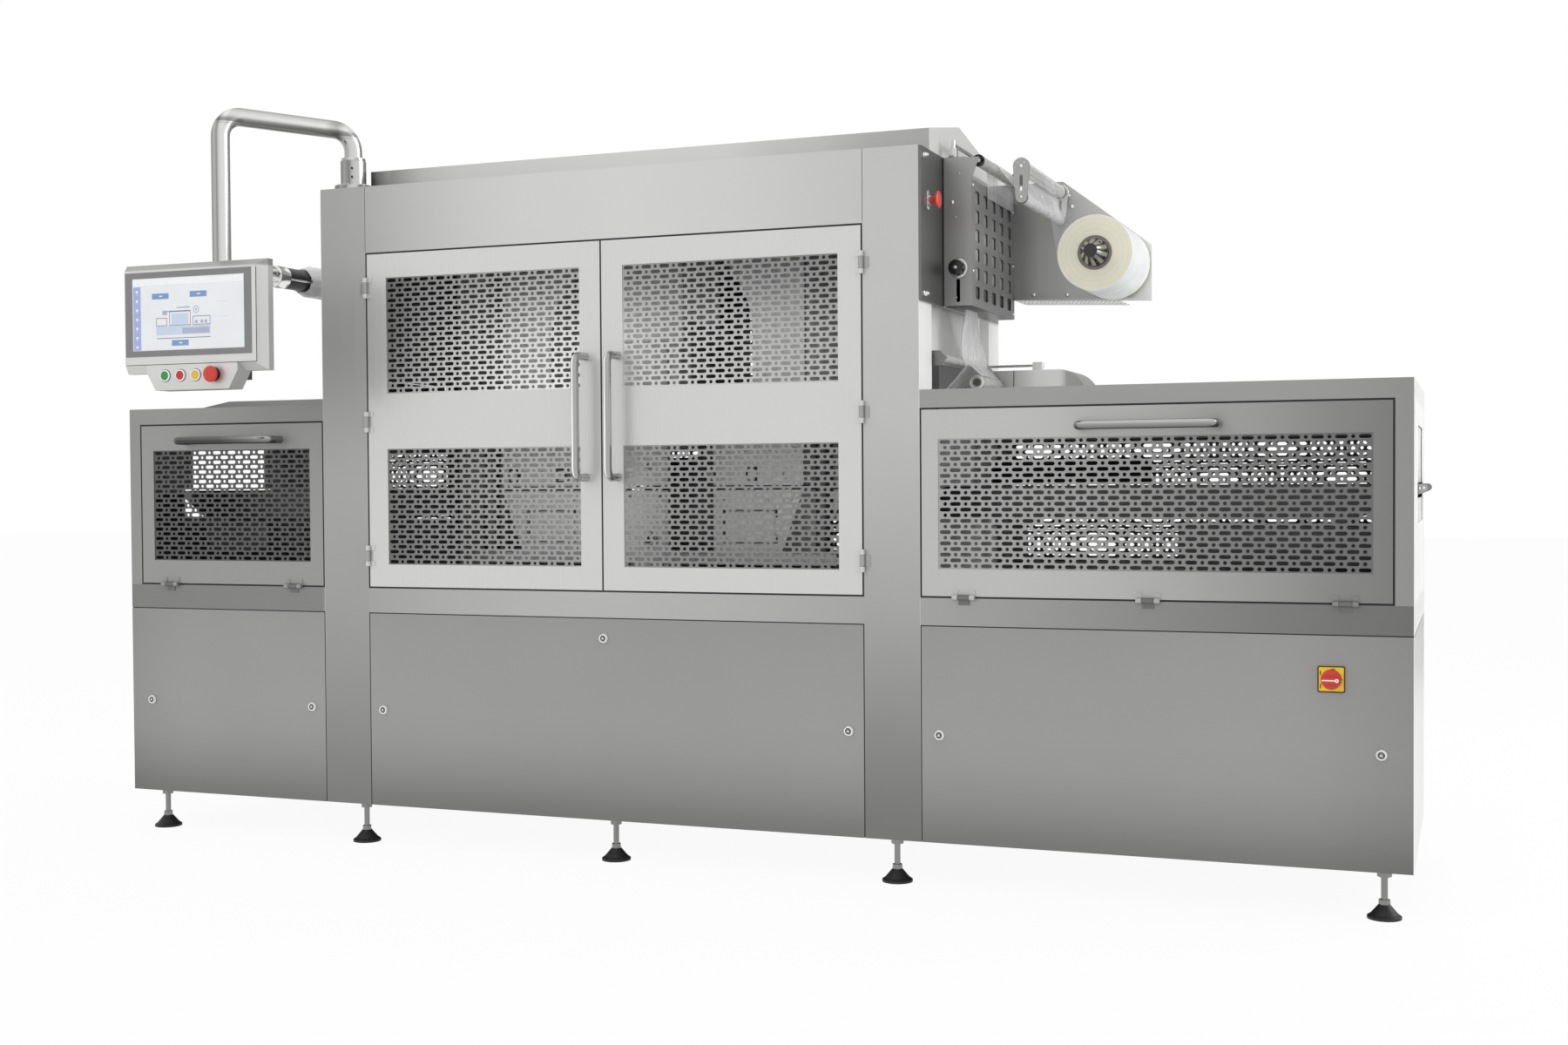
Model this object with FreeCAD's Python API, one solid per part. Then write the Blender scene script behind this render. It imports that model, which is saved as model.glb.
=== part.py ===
import FreeCAD, Part
import math
import os

os.makedirs("parts", exist_ok=True)
Vec = FreeCAD.Vector

# Every size is in millimetres. X runs from the tray outlet (low) to the tray inlet (high), measured
# from the seam between the two big doors. Y is 0 on the front skin and grows to the rear, Z is 0 on
# the floor. The whole machine is moved to the middle of its own box just before it is written out.

# overall body
portal_half = 928.0      # half the width of the sealing portal
outlet_length = 719.0    # portal to the tray outlet end
inlet_length = 1225.0    # portal to the tray inlet end
depth = 840.0            # front skin to rear skin
foot_height = 120.0      # floor to the underside of the frame
panel_top = 692.0        # top of the lower panels
band_top = 764.0         # top of the waist band, where doors and guards start
section_top = 1310.0     # top of the inlet and outlet sections
section_rail = 48.0      # height of their top rail
portal_top = 1950.0      # top of the columns
door_top = 1754.0        # underside of the header

# frame members
column_width = 155.0
column_depth = 117.0
column_wall = 3.0
column_sole = 8.0
tie_drop = 80.0          # height of the ties between the columns, below their top
tie_inset = 40.0
side_recess = 25.0       # portal side walls stand this far in from the columns
band_depth = 60.0
rail_size = 60.0
rail_wall = 3.0
post_left = 40.0         # width of the upright at the outlet end
post_right = 43.0        # width of the upright at the inlet end
post_depth = 40.0
skin = 2.0               # sheet thickness of panels, leaves and covers
panel_flange = 22.0      # depth of the folded edge of a lower panel
gap = 5.0                # running gap round every leaf that opens
seam = 3.0               # shadow seam round a fixed panel

# doors and guards
leaf_depth = 25.0        # depth of a folded leaf
window_low = 71.0        # leaf underside to the lower window, measured from the band top
window_high = 340.0      # height of every window
door_window_lift = 503.0 # lower window to upper window of a big door
door_side = 65.0         # solid margin of a big door beside its windows
guard_side = 45.0        # solid margin of a guard beside its window
sheet = 1.5              # thickness of the perforated sheets
sheet_lap = 12.0         # how far a perforated sheet laps behind its window edge
slot_pitch = 105.0       # least pitch of the slots along a sheet
slot_rows = 6            # rows of slots up a sheet
slot_share = 0.66        # part of its pitch that a slot takes up, each way

# bent tube handles
handle_tube = 23.0
handle_length = 363.0
handle_reach = 65.0
handle_bend = 26.0
door_handle_x = 50.0     # handle centre from the seam of the doors
door_handle_z = 1256.0
guard_handle_drop = 102.0    # section top to the handle of a guard
outlet_handle_in = 326.0     # portal to the middle of a guard handle
inlet_handle_in = 597.0

# barrel hinges
barrel = 14.0
barrel_length = 60.0
barrel_split = 1.0
hinge_plate = 2.0
hinge_reach = 20.0
door_hinge_end = 96.0    # ends of a big door to its outer hinges
outlet_hinge_in = (109.0, 566.0)            # portal to the hinges of a guard
inlet_hinge_in = (119.0, 595.0, 1069.0)

# levelling feet
foot_end_left = 87.0     # outer end to the first foot
foot_end_right = 69.0
foot_portal_left = 105.0 # portal side to its foot
foot_portal_right = 82.0
foot_middle = 10.0
foot_inset = 50.0
pad_across = 82.0
pad_height = 34.0
pad_rim = 12.0
stem_across = 16.0
nut_across = 30.0
nut_height = 18.0

# quarter-turn locks and main switch
lock_across = 28.0
lock_height = 5.0
lock_key = 8.0           # width of the key hole
lock_z = 404.0
lock_high_z = 634.0
lock_end = 74.0          # outer end to the nearest lock
lock_beside = 50.0       # portal side to the nearest lock of a section
lock_inside = 201.0      # portal side to the locks of the middle panel
switch_end = 189.0       # inlet end to the main switch
switch_z = 584.0
switch_plate = 65.0
switch_thick = 6.0
switch_knob = 48.0
switch_reach = 34.0
switch_grip = 16.0
switch_play = 0.5

# hood
hood_front = 104.0
hood_edge = 62.0         # height of the front edge above the columns
hood_ridge_y = 400.0
hood_ridge = 116.0
hood_tail = 44.0
hood_chamfer = 70.0
hood_end = 108.0         # column side to the left end of the hood

# operator panel on its arm
pivot_in = 78.0          # portal side to the arm's pivot
pivot_y = 58.0
arm_tube = 52.0
arm_bore = 46.0
arm_rise = 176.0         # top of the columns to the centre line of the level part
arm_bend = 62.0
arm_over = 198.0         # pivot to the drop, along the machine
arm_out = 362.0          # pivot to the drop, towards the operator
collar_across = 75.0
collar_height = 86.0
flange_across = 111.0
flange_thick = 12.0
thrust_thick = 8.0
swivel_play = 0.4        # radial clearance of the arm in its collar
hmi_hang = 424.0         # level part of the arm to the top of the operator housing
hmi_forward = 96.0       # drop of the arm to the face of the housing
hmi_out = 287.0          # drop of the arm to the housing's outer side
hmi_wide = 488.0
hmi_tall = 310.0
hmi_bevel = 38.0
hmi_body = 22.0
hmi_inset = 23.0
rear_box_half = 73.0
rear_box_deep = 70.0
rear_box_drop = 20.0     # below the housing
bezel_wide = 434.0
bezel_low_edge = 22.0
bezel_high_edge = 3.0
bezel_thick = 2.0
screen_wide = 385.0
screen_high = 205.0
tab_drop = 51.0          # lower edge of the housing to the lower edge of its tab
tab_left = 98.0          # housing side to the tab
tab_wide = 312.0
tab_slant = 30.0
button_drop = 10.0       # lower edge of the housing to the buttons
button_in = (163.0, 216.0, 268.0)   # housing side to the three buttons
button_across = 30.0
button_reach = 12.0
stop_in = 332.0
stop_across = 46.0
stop_reach = 34.0

# film unit beside the inlet
unit_y = 205.0
unit_back = 685.0
unit_wide = 88.0
unit_wall = 8.0
unit_low = 1545.0
guard_plate_drop = 63.0  # top of the columns to the top of the pierced plate
hole_wide = 48.0
hole_high = 34.0
hole_round = 9.0
hole_rows = 6
hole_columns = 5
side_stop_y = 60.0
side_stop_drop = 138.0
cheek = 6.0              # thickness of the plates that carry rollers and reels
plate_reach = 490.0      # portal side to the far end of the film cheek
plate_end_low = 1585.0
plate_end_high = 1746.0
plate_slope_in = 234.0
roll_in = 386.0          # portal side to the film roll's axis
roll_z = 1693.0
roll_across = 207.0
roll_front = 385.0
roll_width = 280.0
roll_clear = 5.0         # film roll to the folded lip of its cheek
web_play = 0.3           # end play of the turning shafts at their plates
core_across = 84.0
core_wall = 3.0
chuck_play = 0.5         # radial clearance between core and chuck
chuck_nose = 60.0
chuck_flute = 7.0
dancer_in = 229.0
dancer_z = 1908.0
dancer_drop = 82.0
dancer_upper = 34.0
dancer_lower = 29.0
dancer_front = 195.0
link_thick = 8.0
link_big = 22.5          # radii of the drop-shaped link
link_small = 15.0
top_roller_in = 105.0
top_roller_z = 1936.0
top_roller = 31.0
axle = 12.0
knob_in = 50.0
knob_z = 1647.0
knob_across = 44.0
knob_reach = 30.0
knob_slot = 10.0

# web lead-in below the film unit
lead_in = 18.0
lead_z = 1401.0
lead_roller = 26.0
lead_front = 132.0
lead_back = 590.0
lead_half = 20.0         # half height of a lead roller bracket
bracket = 4.0
nip_in = 57.0
nip_z = 1346.0
nip_roller = 40.0
nip_front = 370.0

# rewinder beside the outlet
rewind_out = 324.0       # portal side to the reel's axis
rewind_z = 1730.0
rewind_tube = 69.0
rewind_tube_wall = 3.5
rewind_front = 200.0
rewind_back = 655.0
rewind_hub = 52.0
rewind_shaft = 22.0
rewind_bar = 11.0
rewind_bar_set = 0.5     # bars lie this far inside the hub's outer face
rewind_cheek_high = 1850.0
rewind_cheek_low = 1600.0
rewind_cheek_nose = 78.0
waste_across = 92.0
waste_wide = 250.0

# conveyors, with side plates that end in a slanted nose outside the end walls
path_front = 253.0       # front skin to the tray path
path_back = 133.0        # rear skin to the tray path
path_clear = 13.0        # belt frame to the sides of a mouth
belt_low = 966.0
belt_high = 1055.0
belt_thick = 3.0
rail_gap = 8.0           # belt edge to side plate
side_plate = 4.0
nose_reach = 24.0
nose_round = 10.0
slider = 4.0             # thickness of the plate that the belt slides on
nose_run_outlet = 85.0   # length of the slanted underside
nose_run_inlet = 165.0
belt_end_in = 40.0       # portal side to the inner end of a belt
leg_in = 190.0
leg_size = 40.0
leg_drop = 12.0          # band top to the foot of the legs
drive_length = 560.0     # cover of the belt drive below the inlet belt
drive_high = 110.0
drive_half = 150.0

# tray mouths and tunnels
mouth_low = 956.0
mouth_high = 1205.0
mouth_shoulder = 40.0    # step of a mouth's sides above the conveyor
tunnel_front = 157.0
tunnel_behind = 185.0    # rear skin to the tunnel
tunnel_high = 1393.0

# press and sealing tools
press_floor = 30.0       # thickness of the press floor
press_front = 110.0
tool_front = 300.0
tool_behind = 180.0      # rear skin to the tools
tool_in = 211.0          # the two tool blocks run from here to tool_out, each side of the middle
tool_out = 490.0
tool_slant = 68.0
tool_low = 863.0
tool_split = 1055.0      # tray level, where lower and upper tools part
tool_gap = 14.0
tool_high = 1180.0
pocket_edge = 30.0
pocket_deep = 50.0
carrier_half = 590.0
carrier_thick = 30.0
lift_thick = 33.0
guide_x = 545.0
guide_across = 50.0
guide_edge = 30.0
guide_play = 0.5
ram_across = 120.0
centre_half = 72.0
centre_plate = 15.0
centre_high = 1480.0
boss_z = 900.0
boss_across = 40.0
arch_out = 490.0
arch_in = 330.0
arch_spring = 1492.0
arch_plate = 20.0
crown_thick = 40.0
crown_drop = 20.0
housing_half = 100.0
housing_low = 1545.0
flange_half = 130.0
flange_low = 1490.0
groove = 8.0             # shadow groove round the plates on the lower tools
groove_plate_wide = 168.0
groove_plate_high = 98.0
groove_plate_z = 942.0
port = 38.0              # square ports in the upper tools
port_deep = 12.0
port_z = 1097.0
port_edge = 25.0

# covers that show above the section tops
cover_front = 205.0
cover_back = 780.0
cover_rise = 29.0
cover_start = 55.0       # outlet end to the foot of the slope
cover_slope = 164.0
low_cover_length = 317.0
low_cover_rise = 80.0
low_cover_front = 600.0
low_cover_back = 800.0
top_rail = 6.0
top_rail_rise = 19.0
top_rail_length = 170.0
pad_size = 28.0

# names worked out from the sizes above
left_end = -portal_half - outlet_length
right_end = portal_half + inlet_length
column_in = portal_half - column_width
back_column = depth - column_depth
leaf_low = band_top + gap
hinge_y = -barrel / 2
door_axis_x = column_in - gap / 2
door_hinge_z = (band_top + door_hinge_end, (band_top + door_top) / 2 - 4, door_top - door_hinge_end - 8)
outlet_hinge_x = [-portal_half - d for d in outlet_hinge_in]
inlet_hinge_x = [portal_half + d for d in inlet_hinge_in]
guard_handle_z = section_top - guard_handle_drop
outlet_handle_x = -portal_half - outlet_handle_in
inlet_handle_x = portal_half + inlet_handle_in
foot_x = (left_end + foot_end_left, -portal_half + foot_portal_left, foot_middle,
          portal_half - foot_portal_right, right_end - foot_end_right)
switch_x = right_end - switch_end
hood_left = -portal_half + hood_end
pivot_x = -portal_half + pivot_in
arm_height = portal_top + arm_rise
drop_x = pivot_x - arm_over
drop_y = pivot_y - arm_out
hmi_front = drop_y - hmi_forward
hmi_left = drop_x - hmi_out
hmi_right = hmi_left + hmi_wide
hmi_high = arm_height - hmi_hang
hmi_low = hmi_high - hmi_tall
button_z = hmi_low - button_drop
unit_high = portal_top - skin
unit_right = portal_half + unit_wide
guard_plate_high = portal_top - guard_plate_drop
plate_tip_x = portal_half + plate_reach
roll_x = portal_half + roll_in
lip_wide = unit_back - roll_front - roll_width - roll_clear
dancer_x = portal_half + dancer_in
top_roller_x = portal_half + top_roller_in
knob_x = portal_half + knob_in
lead_x = portal_half + lead_in
nip_x = portal_half + nip_in
wall_x = portal_half - side_recess
rewind_x = -portal_half - rewind_out
belt_middle = (path_front + depth - path_back) / 2
mouth_wide_half = (depth - path_front - path_back) / 2
mouth_half = mouth_wide_half - mouth_shoulder
conveyor_half = mouth_wide_half - path_clear
belt_wide = 2 * (conveyor_half - side_plate - rail_gap)
tunnel_back = depth - tunnel_behind
tool_back = depth - tool_behind
floor_top = band_top - 4 + press_floor
lower_top = tool_split - tool_gap / 2
upper_low = tool_split + tool_gap / 2
carrier_top = tool_high + carrier_thick
crown_low = portal_top - crown_drop - crown_thick
x_low = left_end - nose_reach
x_high = right_end + nose_reach
y_low = hmi_front - stop_reach
y_high = depth + lock_height
shift = Vec(-(x_low + x_high) / 2, -(y_low + y_high) / 2, 0)


def box(x0, x1, y0, y1, z0, z1):
    return Part.makeBox(x1 - x0, y1 - y0, z1 - z0, Vec(x0, y0, z0))


def hollow(x0, x1, y0, y1, z0, z1, wall, along):
    """Rectangular tube, open at both ends along the named axis."""
    cut = [wall, wall, wall]
    cut["xyz".index(along)] = -1.0
    inner = box(x0 + cut[0], x1 - cut[0], y0 + cut[1], y1 - cut[1], z0 + cut[2], z1 - cut[2])
    return box(x0, x1, y0, y1, z0, z1).cut(inner)


def rod(across, length, base, along):
    """Round bar that starts at base and runs along a direction."""
    return Part.makeCylinder(across / 2, length, Vec(*base), Vec(*along))


def ring(outer, inner, length, base, along):
    return rod(outer, length, base, along).cut(rod(inner, length, base, along))


def prism(points, along):
    """Closed outline through the points, pulled along a vector."""
    corners = [Vec(*p) for p in points]
    return Part.Face(Part.makePolygon(corners + corners[:1])).extrude(Vec(*along))


def upright_prism(outline, y0, y1):
    """Outline of (x, z) pairs, pulled from y0 to y1."""
    return prism([(x, y0, z) for x, z in outline], (0, y1 - y0, 0))


def revolve(profile, base, along):
    """Half outline of (radius, distance) pairs turned round an axis through base."""
    turned = Part.Face(Part.makePolygon([Vec(r, 0, d) for r, d in profile + profile[:1]]))
    solid = turned.revolve(Vec(0, 0, 0), Vec(0, 0, 1), 360)
    solid.Placement = FreeCAD.Placement(Vec(*base), FreeCAD.Rotation(Vec(0, 0, 1), Vec(*along)))
    return solid


def hexagon(across, height, base):
    radius = across / math.sqrt(3)
    points = [(base[0] + radius * math.cos(math.radians(60 * k)),
               base[1] + radius * math.sin(math.radians(60 * k)), base[2]) for k in range(6)]
    return prism(points, (0, 0, height))


def bent_path(points, radius):
    """Wire through the points with a tangent arc at every inner corner."""
    pts = [Vec(*p) for p in points]
    edges = []
    start = pts[0]
    for before, corner, after in zip(pts, pts[1:], pts[2:]):
        u = (before - corner).normalize()
        v = (after - corner).normalize()
        half = u.getAngle(v) / 2
        first = corner + u * (radius / math.tan(half))
        last = corner + v * (radius / math.tan(half))
        middle = corner + (u + v).normalize() * (radius / math.sin(half) - radius)
        edges.append(Part.LineSegment(start, first).toShape())
        edges.append(Part.Arc(first, middle, last).toShape())
        start = last
    edges.append(Part.LineSegment(start, pts[-1]).toShape())
    return Part.Wire(edges)


def swept(points, radius, across, bore=0.0):
    """Round bar or tube swept along a bent path."""
    path = bent_path(points, radius)
    along = Vec(*points[1]) - Vec(*points[0])
    solid = None
    for size in (across, bore):
        if size:
            circle = Part.Wire(Part.makeCircle(size / 2, Vec(*points[0]), along))
            pipe = path.makePipeShell([circle], True, False)
            solid = pipe if solid is None else solid.cut(pipe)
    return solid


def upright_slot(x, wide, z0, z1, y, reach):
    """Upright slot with round ends, pulled along Y."""
    core = box(x - wide / 2, x + wide / 2, y, y + reach, z0 + wide / 2, z1 - wide / 2)
    ends = [rod(wide, reach, (x, y, z), (0, 1, 0)) for z in (z0 + wide / 2, z1 - wide / 2)]
    return core.fuse(ends).removeSplitter()


def mirror_back(shape):
    """The same piece on the rear side."""
    return shape.mirror(Vec(0, depth / 2, 0), Vec(0, 1, 0))


def mirror_x(shape):
    return shape.mirror(Vec(0, 0, 0), Vec(1, 0, 0))


def both_sides(shapes):
    """The shapes and their mirror images across the middle of the portal."""
    return shapes + [mirror_x(s) for s in shapes]


def joined(shapes):
    whole = shapes[0].fuse(shapes[1:])
    return whole.removeSplitter()


nodes = {}


def keep(name, shapes):
    """Add solids to one named node."""
    for shape in shapes if isinstance(shapes, list) else [shapes]:
        nodes.setdefault(name, []).extend(shape.Solids)


# frame
def make_frame():
    bays = [(left_end + skin, -portal_half), (-column_in, column_in), (portal_half, right_end - skin)]
    rails = []
    bands = []
    for x0, x1 in bays:
        rail = hollow(x0, x1, panel_flange, panel_flange + rail_size, foot_height,
                      foot_height + rail_size, rail_wall, "x")
        rails += [rail, mirror_back(rail)]
    for x0, x1 in ((left_end, -portal_half), (-column_in, column_in), (portal_half, right_end)):
        band = hollow(x0, x1, 0, band_depth, panel_top, band_top, rail_wall, "x")
        bands += [band, mirror_back(band)]
    rail_in = panel_flange + rail_size
    for x in (foot_x[0], foot_x[2], foot_x[4]):
        half = rail_size / 2
        rails.append(hollow(x - half, x + half, rail_in, depth - rail_in, foot_height,
                            foot_height + rail_size, rail_wall, "y"))
        upright = hollow(x - half, x + half, panel_flange, panel_flange + rail_size,
                         foot_height + rail_size, panel_top, rail_wall, "z")
        rails += [upright, mirror_back(upright)]
    keep("base_frame", rails + bands)

    columns = []
    for x0 in (-portal_half, column_in):
        column = hollow(x0, x0 + column_width, 0, column_depth, foot_height, portal_top,
                        column_wall, "z")
        inside = (x0 + column_wall, x0 + column_width - column_wall, column_wall, column_depth - column_wall)
        sole = box(*inside, foot_height, foot_height + column_sole)
        cap = box(*inside, portal_top - skin, portal_top)
        column = joined([column, sole, cap])
        columns += [column, mirror_back(column)]
    keep("portal_columns", columns)

    header = hollow(-column_in, column_in, 0, column_depth, door_top, portal_top, column_wall, "x")
    tie = hollow(portal_half - tie_inset - rail_size, portal_half - tie_inset, column_depth, back_column,
                 portal_top - tie_drop, portal_top, rail_wall, "y")
    keep("portal_header", [header, mirror_back(header)] + both_sides([tie]))


def make_hood():
    """Low folded roof with a gentle ridge, hollow below, its left front corner cut off."""
    def roof(inset):
        low = portal_top
        outline = [(hood_front + inset, low), (hood_front + inset, low + hood_edge - inset),
                   (hood_ridge_y, low + hood_ridge - inset), (depth - inset, low + hood_tail - inset),
                   (depth - inset, low)]
        x0 = hood_left + inset
        solid = prism([(x0, y, z) for y, z in outline], (portal_half - inset - x0, 0, 0))
        cut = hood_chamfer + inset * math.sqrt(2)
        corner = prism([(hood_left, hood_front, low), (hood_left + cut, hood_front, low),
                        (hood_left, hood_front + cut, low)], (0, 0, 2 * hood_ridge))
        return solid.cut(corner)
    keep("portal_hood", roof(0).cut(roof(skin)))


def t_opening(x, front, back, wide_front, wide_back, high):
    """Opening for trays through a wall at x, wider beside the conveyor."""
    upper = box(x - 1, x + skin + 1, front, back, mouth_low, high)
    lower = box(x - 1, x + skin + 1, wide_front, wide_back, mouth_low, belt_high + gap)
    return joined([upper, lower])


def make_portal_sides():
    """Recessed side walls with the tray tunnel cut through them."""
    wide = mouth_wide_half
    tunnel = t_opening(-wall_x, tunnel_front, tunnel_back, min(tunnel_front, belt_middle - wide),
                       max(tunnel_back, belt_middle + wide), tunnel_high)
    wall = box(-wall_x, -wall_x + skin, column_depth, back_column, band_top, portal_top - tie_drop).cut(tunnel)
    keep("side_walls", both_sides([wall]))


def lower_panel(x0, x1):
    """Folded tray with its skin at the front."""
    outer = box(x0, x1, 0, panel_flange, foot_height, panel_top - seam)
    inner = box(x0 + skin, x1 - skin, skin, panel_flange, foot_height + skin, panel_top - seam - skin)
    return outer.cut(inner)


def make_panels():
    fronts = [lower_panel(left_end, -portal_half - seam), lower_panel(-column_in + seam, column_in - seam),
              lower_panel(portal_half + seam, right_end)]
    keep("front_panels", fronts)
    keep("rear_panels", [mirror_back(p) for p in fronts])
    for x0 in (left_end, right_end - skin):
        keep("rear_panels", box(x0, x0 + skin, panel_flange, depth - panel_flange, foot_height, panel_top - seam))

    locks = []
    inside = portal_half - lock_inside
    xs = [left_end + lock_end, -portal_half - lock_beside, -inside, inside, portal_half + lock_beside,
          right_end - lock_end]
    for x, z in [(x, lock_z) for x in xs] + [(0, lock_high_z)]:
        half = lock_across / 2
        rim = lock_height * 0.4
        body = revolve([(0, 0), (half, 0), (half, rim), (half - rim * 1.5, lock_height), (0, lock_height)],
                       (x, 0, z), (0, -1, 0))
        key = lock_key / 2
        hole = upright_prism([(x - key, z - key), (x + key, z - key), (x, z + key)],
                             -lock_height * 1.2, -lock_height * 0.6)
        locks.append(body.cut(hole))
    keep("panel_locks", locks + [mirror_back(k) for k in locks])


def make_sections():
    """Open box frames of the outlet and inlet sections, with their end walls and top sheets."""
    for x0, x1, post in ((left_end, -portal_half, post_left), (portal_half, right_end, post_right)):
        at_left = x0 == left_end
        p0 = x0 if at_left else x1 - post
        w0 = x0 if at_left else x1 - skin
        low = section_top - section_rail
        upright = hollow(p0, p0 + post, 0, post_depth, band_top, low, skin, "z")
        rail = hollow(x0, x1, 0, post_depth, low, section_top, skin, "x")
        cross = hollow(p0, p0 + post, post_depth, depth - post_depth, low, section_top, skin, "y")
        sill = hollow(p0, p0 + post, band_depth, depth - band_depth, panel_top, band_top, skin, "y")
        keep("section_frames", [upright, mirror_back(upright), rail, mirror_back(rail), cross, sill])
        wall = box(w0, w0 + skin, post_depth, depth - post_depth, band_top, low)
        mouth = t_opening(w0, belt_middle - mouth_half, belt_middle + mouth_half,
                          belt_middle - mouth_wide_half, belt_middle + mouth_wide_half, mouth_high)
        keep("side_walls", wall.cut(mouth))
        t0 = x0 + post if at_left else x0
        t1 = x1 if at_left else x1 - post
        keep("section_tops", box(t0, t1, post_depth, depth - post_depth, section_top - skin, section_top))

    # raised covers that show above the top sheets
    foot = left_end + cover_start
    rise = section_top + cover_rise
    cover = upright_prism([(foot, section_top), (foot + cover_slope, rise), (-portal_half, rise),
                           (-portal_half, section_top)], cover_front, cover_back)
    inner = upright_prism([(foot + 4 * skin, section_top), (foot + cover_slope, rise - skin),
                           (-portal_half - skin, rise - skin), (-portal_half - skin, section_top)],
                          cover_front + skin, cover_back - skin)
    keep("section_tops", cover.cut(inner))

    high = section_top + low_cover_rise
    end = portal_half + low_cover_length
    straight = end - low_cover_rise
    y0, y1 = low_cover_front, low_cover_back
    nose = rod(2 * low_cover_rise, y1 - y0, (straight, y0, section_top), (0, 1, 0))
    nose = nose.common(box(straight, end, y0, y1, section_top, high))
    outer = joined([box(portal_half, straight, y0, y1, section_top, high), nose])
    inner = box(portal_half + skin, straight, y0 + skin, y1 - skin, section_top, high - skin)
    keep("section_tops", outer.cut(inner))
    y = (y0 + y1) / 2
    rail = rod(top_rail, top_rail_length, (portal_half, y, high + top_rail_rise), (1, 0, 0))
    x = portal_half + top_rail_length - pad_size / 2
    pad = box(x - pad_size / 2, x + pad_size / 2, y - pad_size / 2, y + pad_size / 2, high, high + pad_size)
    keep("section_tops", joined([rail, pad]))


# leaves
def leaf(x0, x1, z0, z1, windows):
    """Folded leaf: a skin with its edges turned back, and its windows cut out."""
    solid = box(x0, x1, 0, leaf_depth, z0, z1)
    solid = solid.cut(box(x0 + skin, x1 - skin, skin, leaf_depth, z0 + skin, z1 - skin))
    for wx0, wx1, wz0, wz1 in windows:
        solid = solid.cut(box(wx0, wx1, -1, skin + 1, wz0, wz1))
    return solid


def sheets(windows):
    """Sheets that back the windows of a leaf, with staggered rows of slots."""
    plates = []
    for x0, x1, z0, z1 in windows:
        lap = sheet_lap
        plate = box(x0 - lap, x1 + lap, skin, skin + sheet, z0 - lap, z1 + lap)
        columns = max(2, int((x1 - x0) / slot_pitch))
        pitch, rise = (x1 - x0) / columns, (z1 - z0) / slot_rows
        wide, high = slot_share * pitch, slot_share * rise
        cuts = []
        for row in range(slot_rows):
            odd = row % 2
            for column in range(columns - odd):
                x = x0 + (column + 0.5 + 0.5 * odd) * pitch
                z = z0 + (row + 0.5) * rise
                cuts.append(box(x - wide / 2, x + wide / 2, skin - 1, skin + sheet + 1, z - high / 2, z + high / 2))
        plates.append(plate.cut(Part.makeCompound(cuts)))
    return plates


def stand_handle(x, z, upright, face):
    """Bent tube handle whose two legs stand on the face at Y = face."""
    half = (handle_length - handle_tube) / 2
    dx, dz = (0, half) if upright else (half, 0)
    points = [(x - dx, face, z - dz), (x - dx, face - handle_reach, z - dz),
              (x + dx, face - handle_reach, z + dz), (x + dx, face, z + dz)]
    return swept(points, handle_bend, handle_tube)


def hinge_parts(centre, upright):
    """Barrel hinge on the line Y = hinge_y: the fixed middle and the two moving ends."""
    x, z = centre
    along = (0, 0, 1) if upright else (1, 0, 0)
    middle = barrel_length / 2
    end = (barrel_length - middle) / 2 - barrel_split

    def piece(offset, length, to_leaf):
        start = (x + along[0] * offset, hinge_y, z + along[2] * offset)
        turned = rod(barrel, length, start, along)
        reach = hinge_reach if to_leaf else -hinge_reach
        if upright:
            plate = box(min(x, x + reach), max(x, x + reach), -hinge_plate, 0, start[2], start[2] + length)
        else:
            plate = box(start[0], start[0] + length, -hinge_plate, 0, min(z, z + reach), max(z, z + reach))
        return joined([turned, plate])

    fixed = piece(-middle / 2, middle, False)
    moving = [piece(-barrel_length / 2, end, True), piece(middle / 2 + barrel_split, end, True)]
    return fixed, moving


def make_leaves():
    w0 = band_top + window_low
    door_windows = [(-column_in + gap + door_side, -gap / 2 - door_side, w0 + lift, w0 + lift + window_high)
                    for lift in (0, door_window_lift)]
    door = leaf(-column_in + gap, -gap / 2, leaf_low, door_top - gap, door_windows)
    mesh = sheets(door_windows)
    handle = stand_handle(-door_handle_x, door_handle_z, True, 0)
    fixed = []
    moving = []
    for z in door_hinge_z:
        stay, turn = hinge_parts((-door_axis_x, z), True)
        fixed.append(stay)
        moving += turn
    keep("left_door", [door] + moving)
    keep("left_door_mesh", mesh)
    keep("left_door_handle", handle)
    keep("right_door", [mirror_x(s) for s in [door] + moving])
    keep("right_door_mesh", [mirror_x(s) for s in mesh])
    keep("right_door_handle", mirror_x(handle))
    fixed += [mirror_x(s) for s in fixed]

    z1 = section_top - section_rail - gap
    zw = w0 + gap
    spans = {"outlet_guard": (left_end + post_left + gap, -portal_half - gap, outlet_hinge_x, outlet_handle_x),
             "inlet_guard": (portal_half + gap, right_end - post_right - gap, inlet_hinge_x, inlet_handle_x)}
    for name, (x0, x1, hinge_x, handle_x) in spans.items():
        windows = [(x0 + guard_side, x1 - guard_side, zw, zw + window_high)]
        moving = []
        for x in hinge_x:
            stay, turn = hinge_parts((x, band_top + gap / 2), False)
            fixed.append(stay)
            moving += turn
        keep(name, [leaf(x0, x1, leaf_low, z1, windows)] + moving)
        keep(name + "_mesh", sheets(windows))
        keep(name + "_handle", stand_handle(handle_x, guard_handle_z, False, 0))
        keep("rear_leaves", mirror_back(leaf(x0 - gap, x1 + gap, band_top, z1 + gap, windows)))
        keep("rear_mesh", [mirror_back(s) for s in sheets(windows)])
    keep("hinge_barrels", fixed)
    wide = leaf(-column_in, 0, band_top, door_top, door_windows)
    keep("rear_leaves", both_sides([mirror_back(wide)]))
    keep("rear_mesh", both_sides([mirror_back(s) for s in mesh]))


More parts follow.
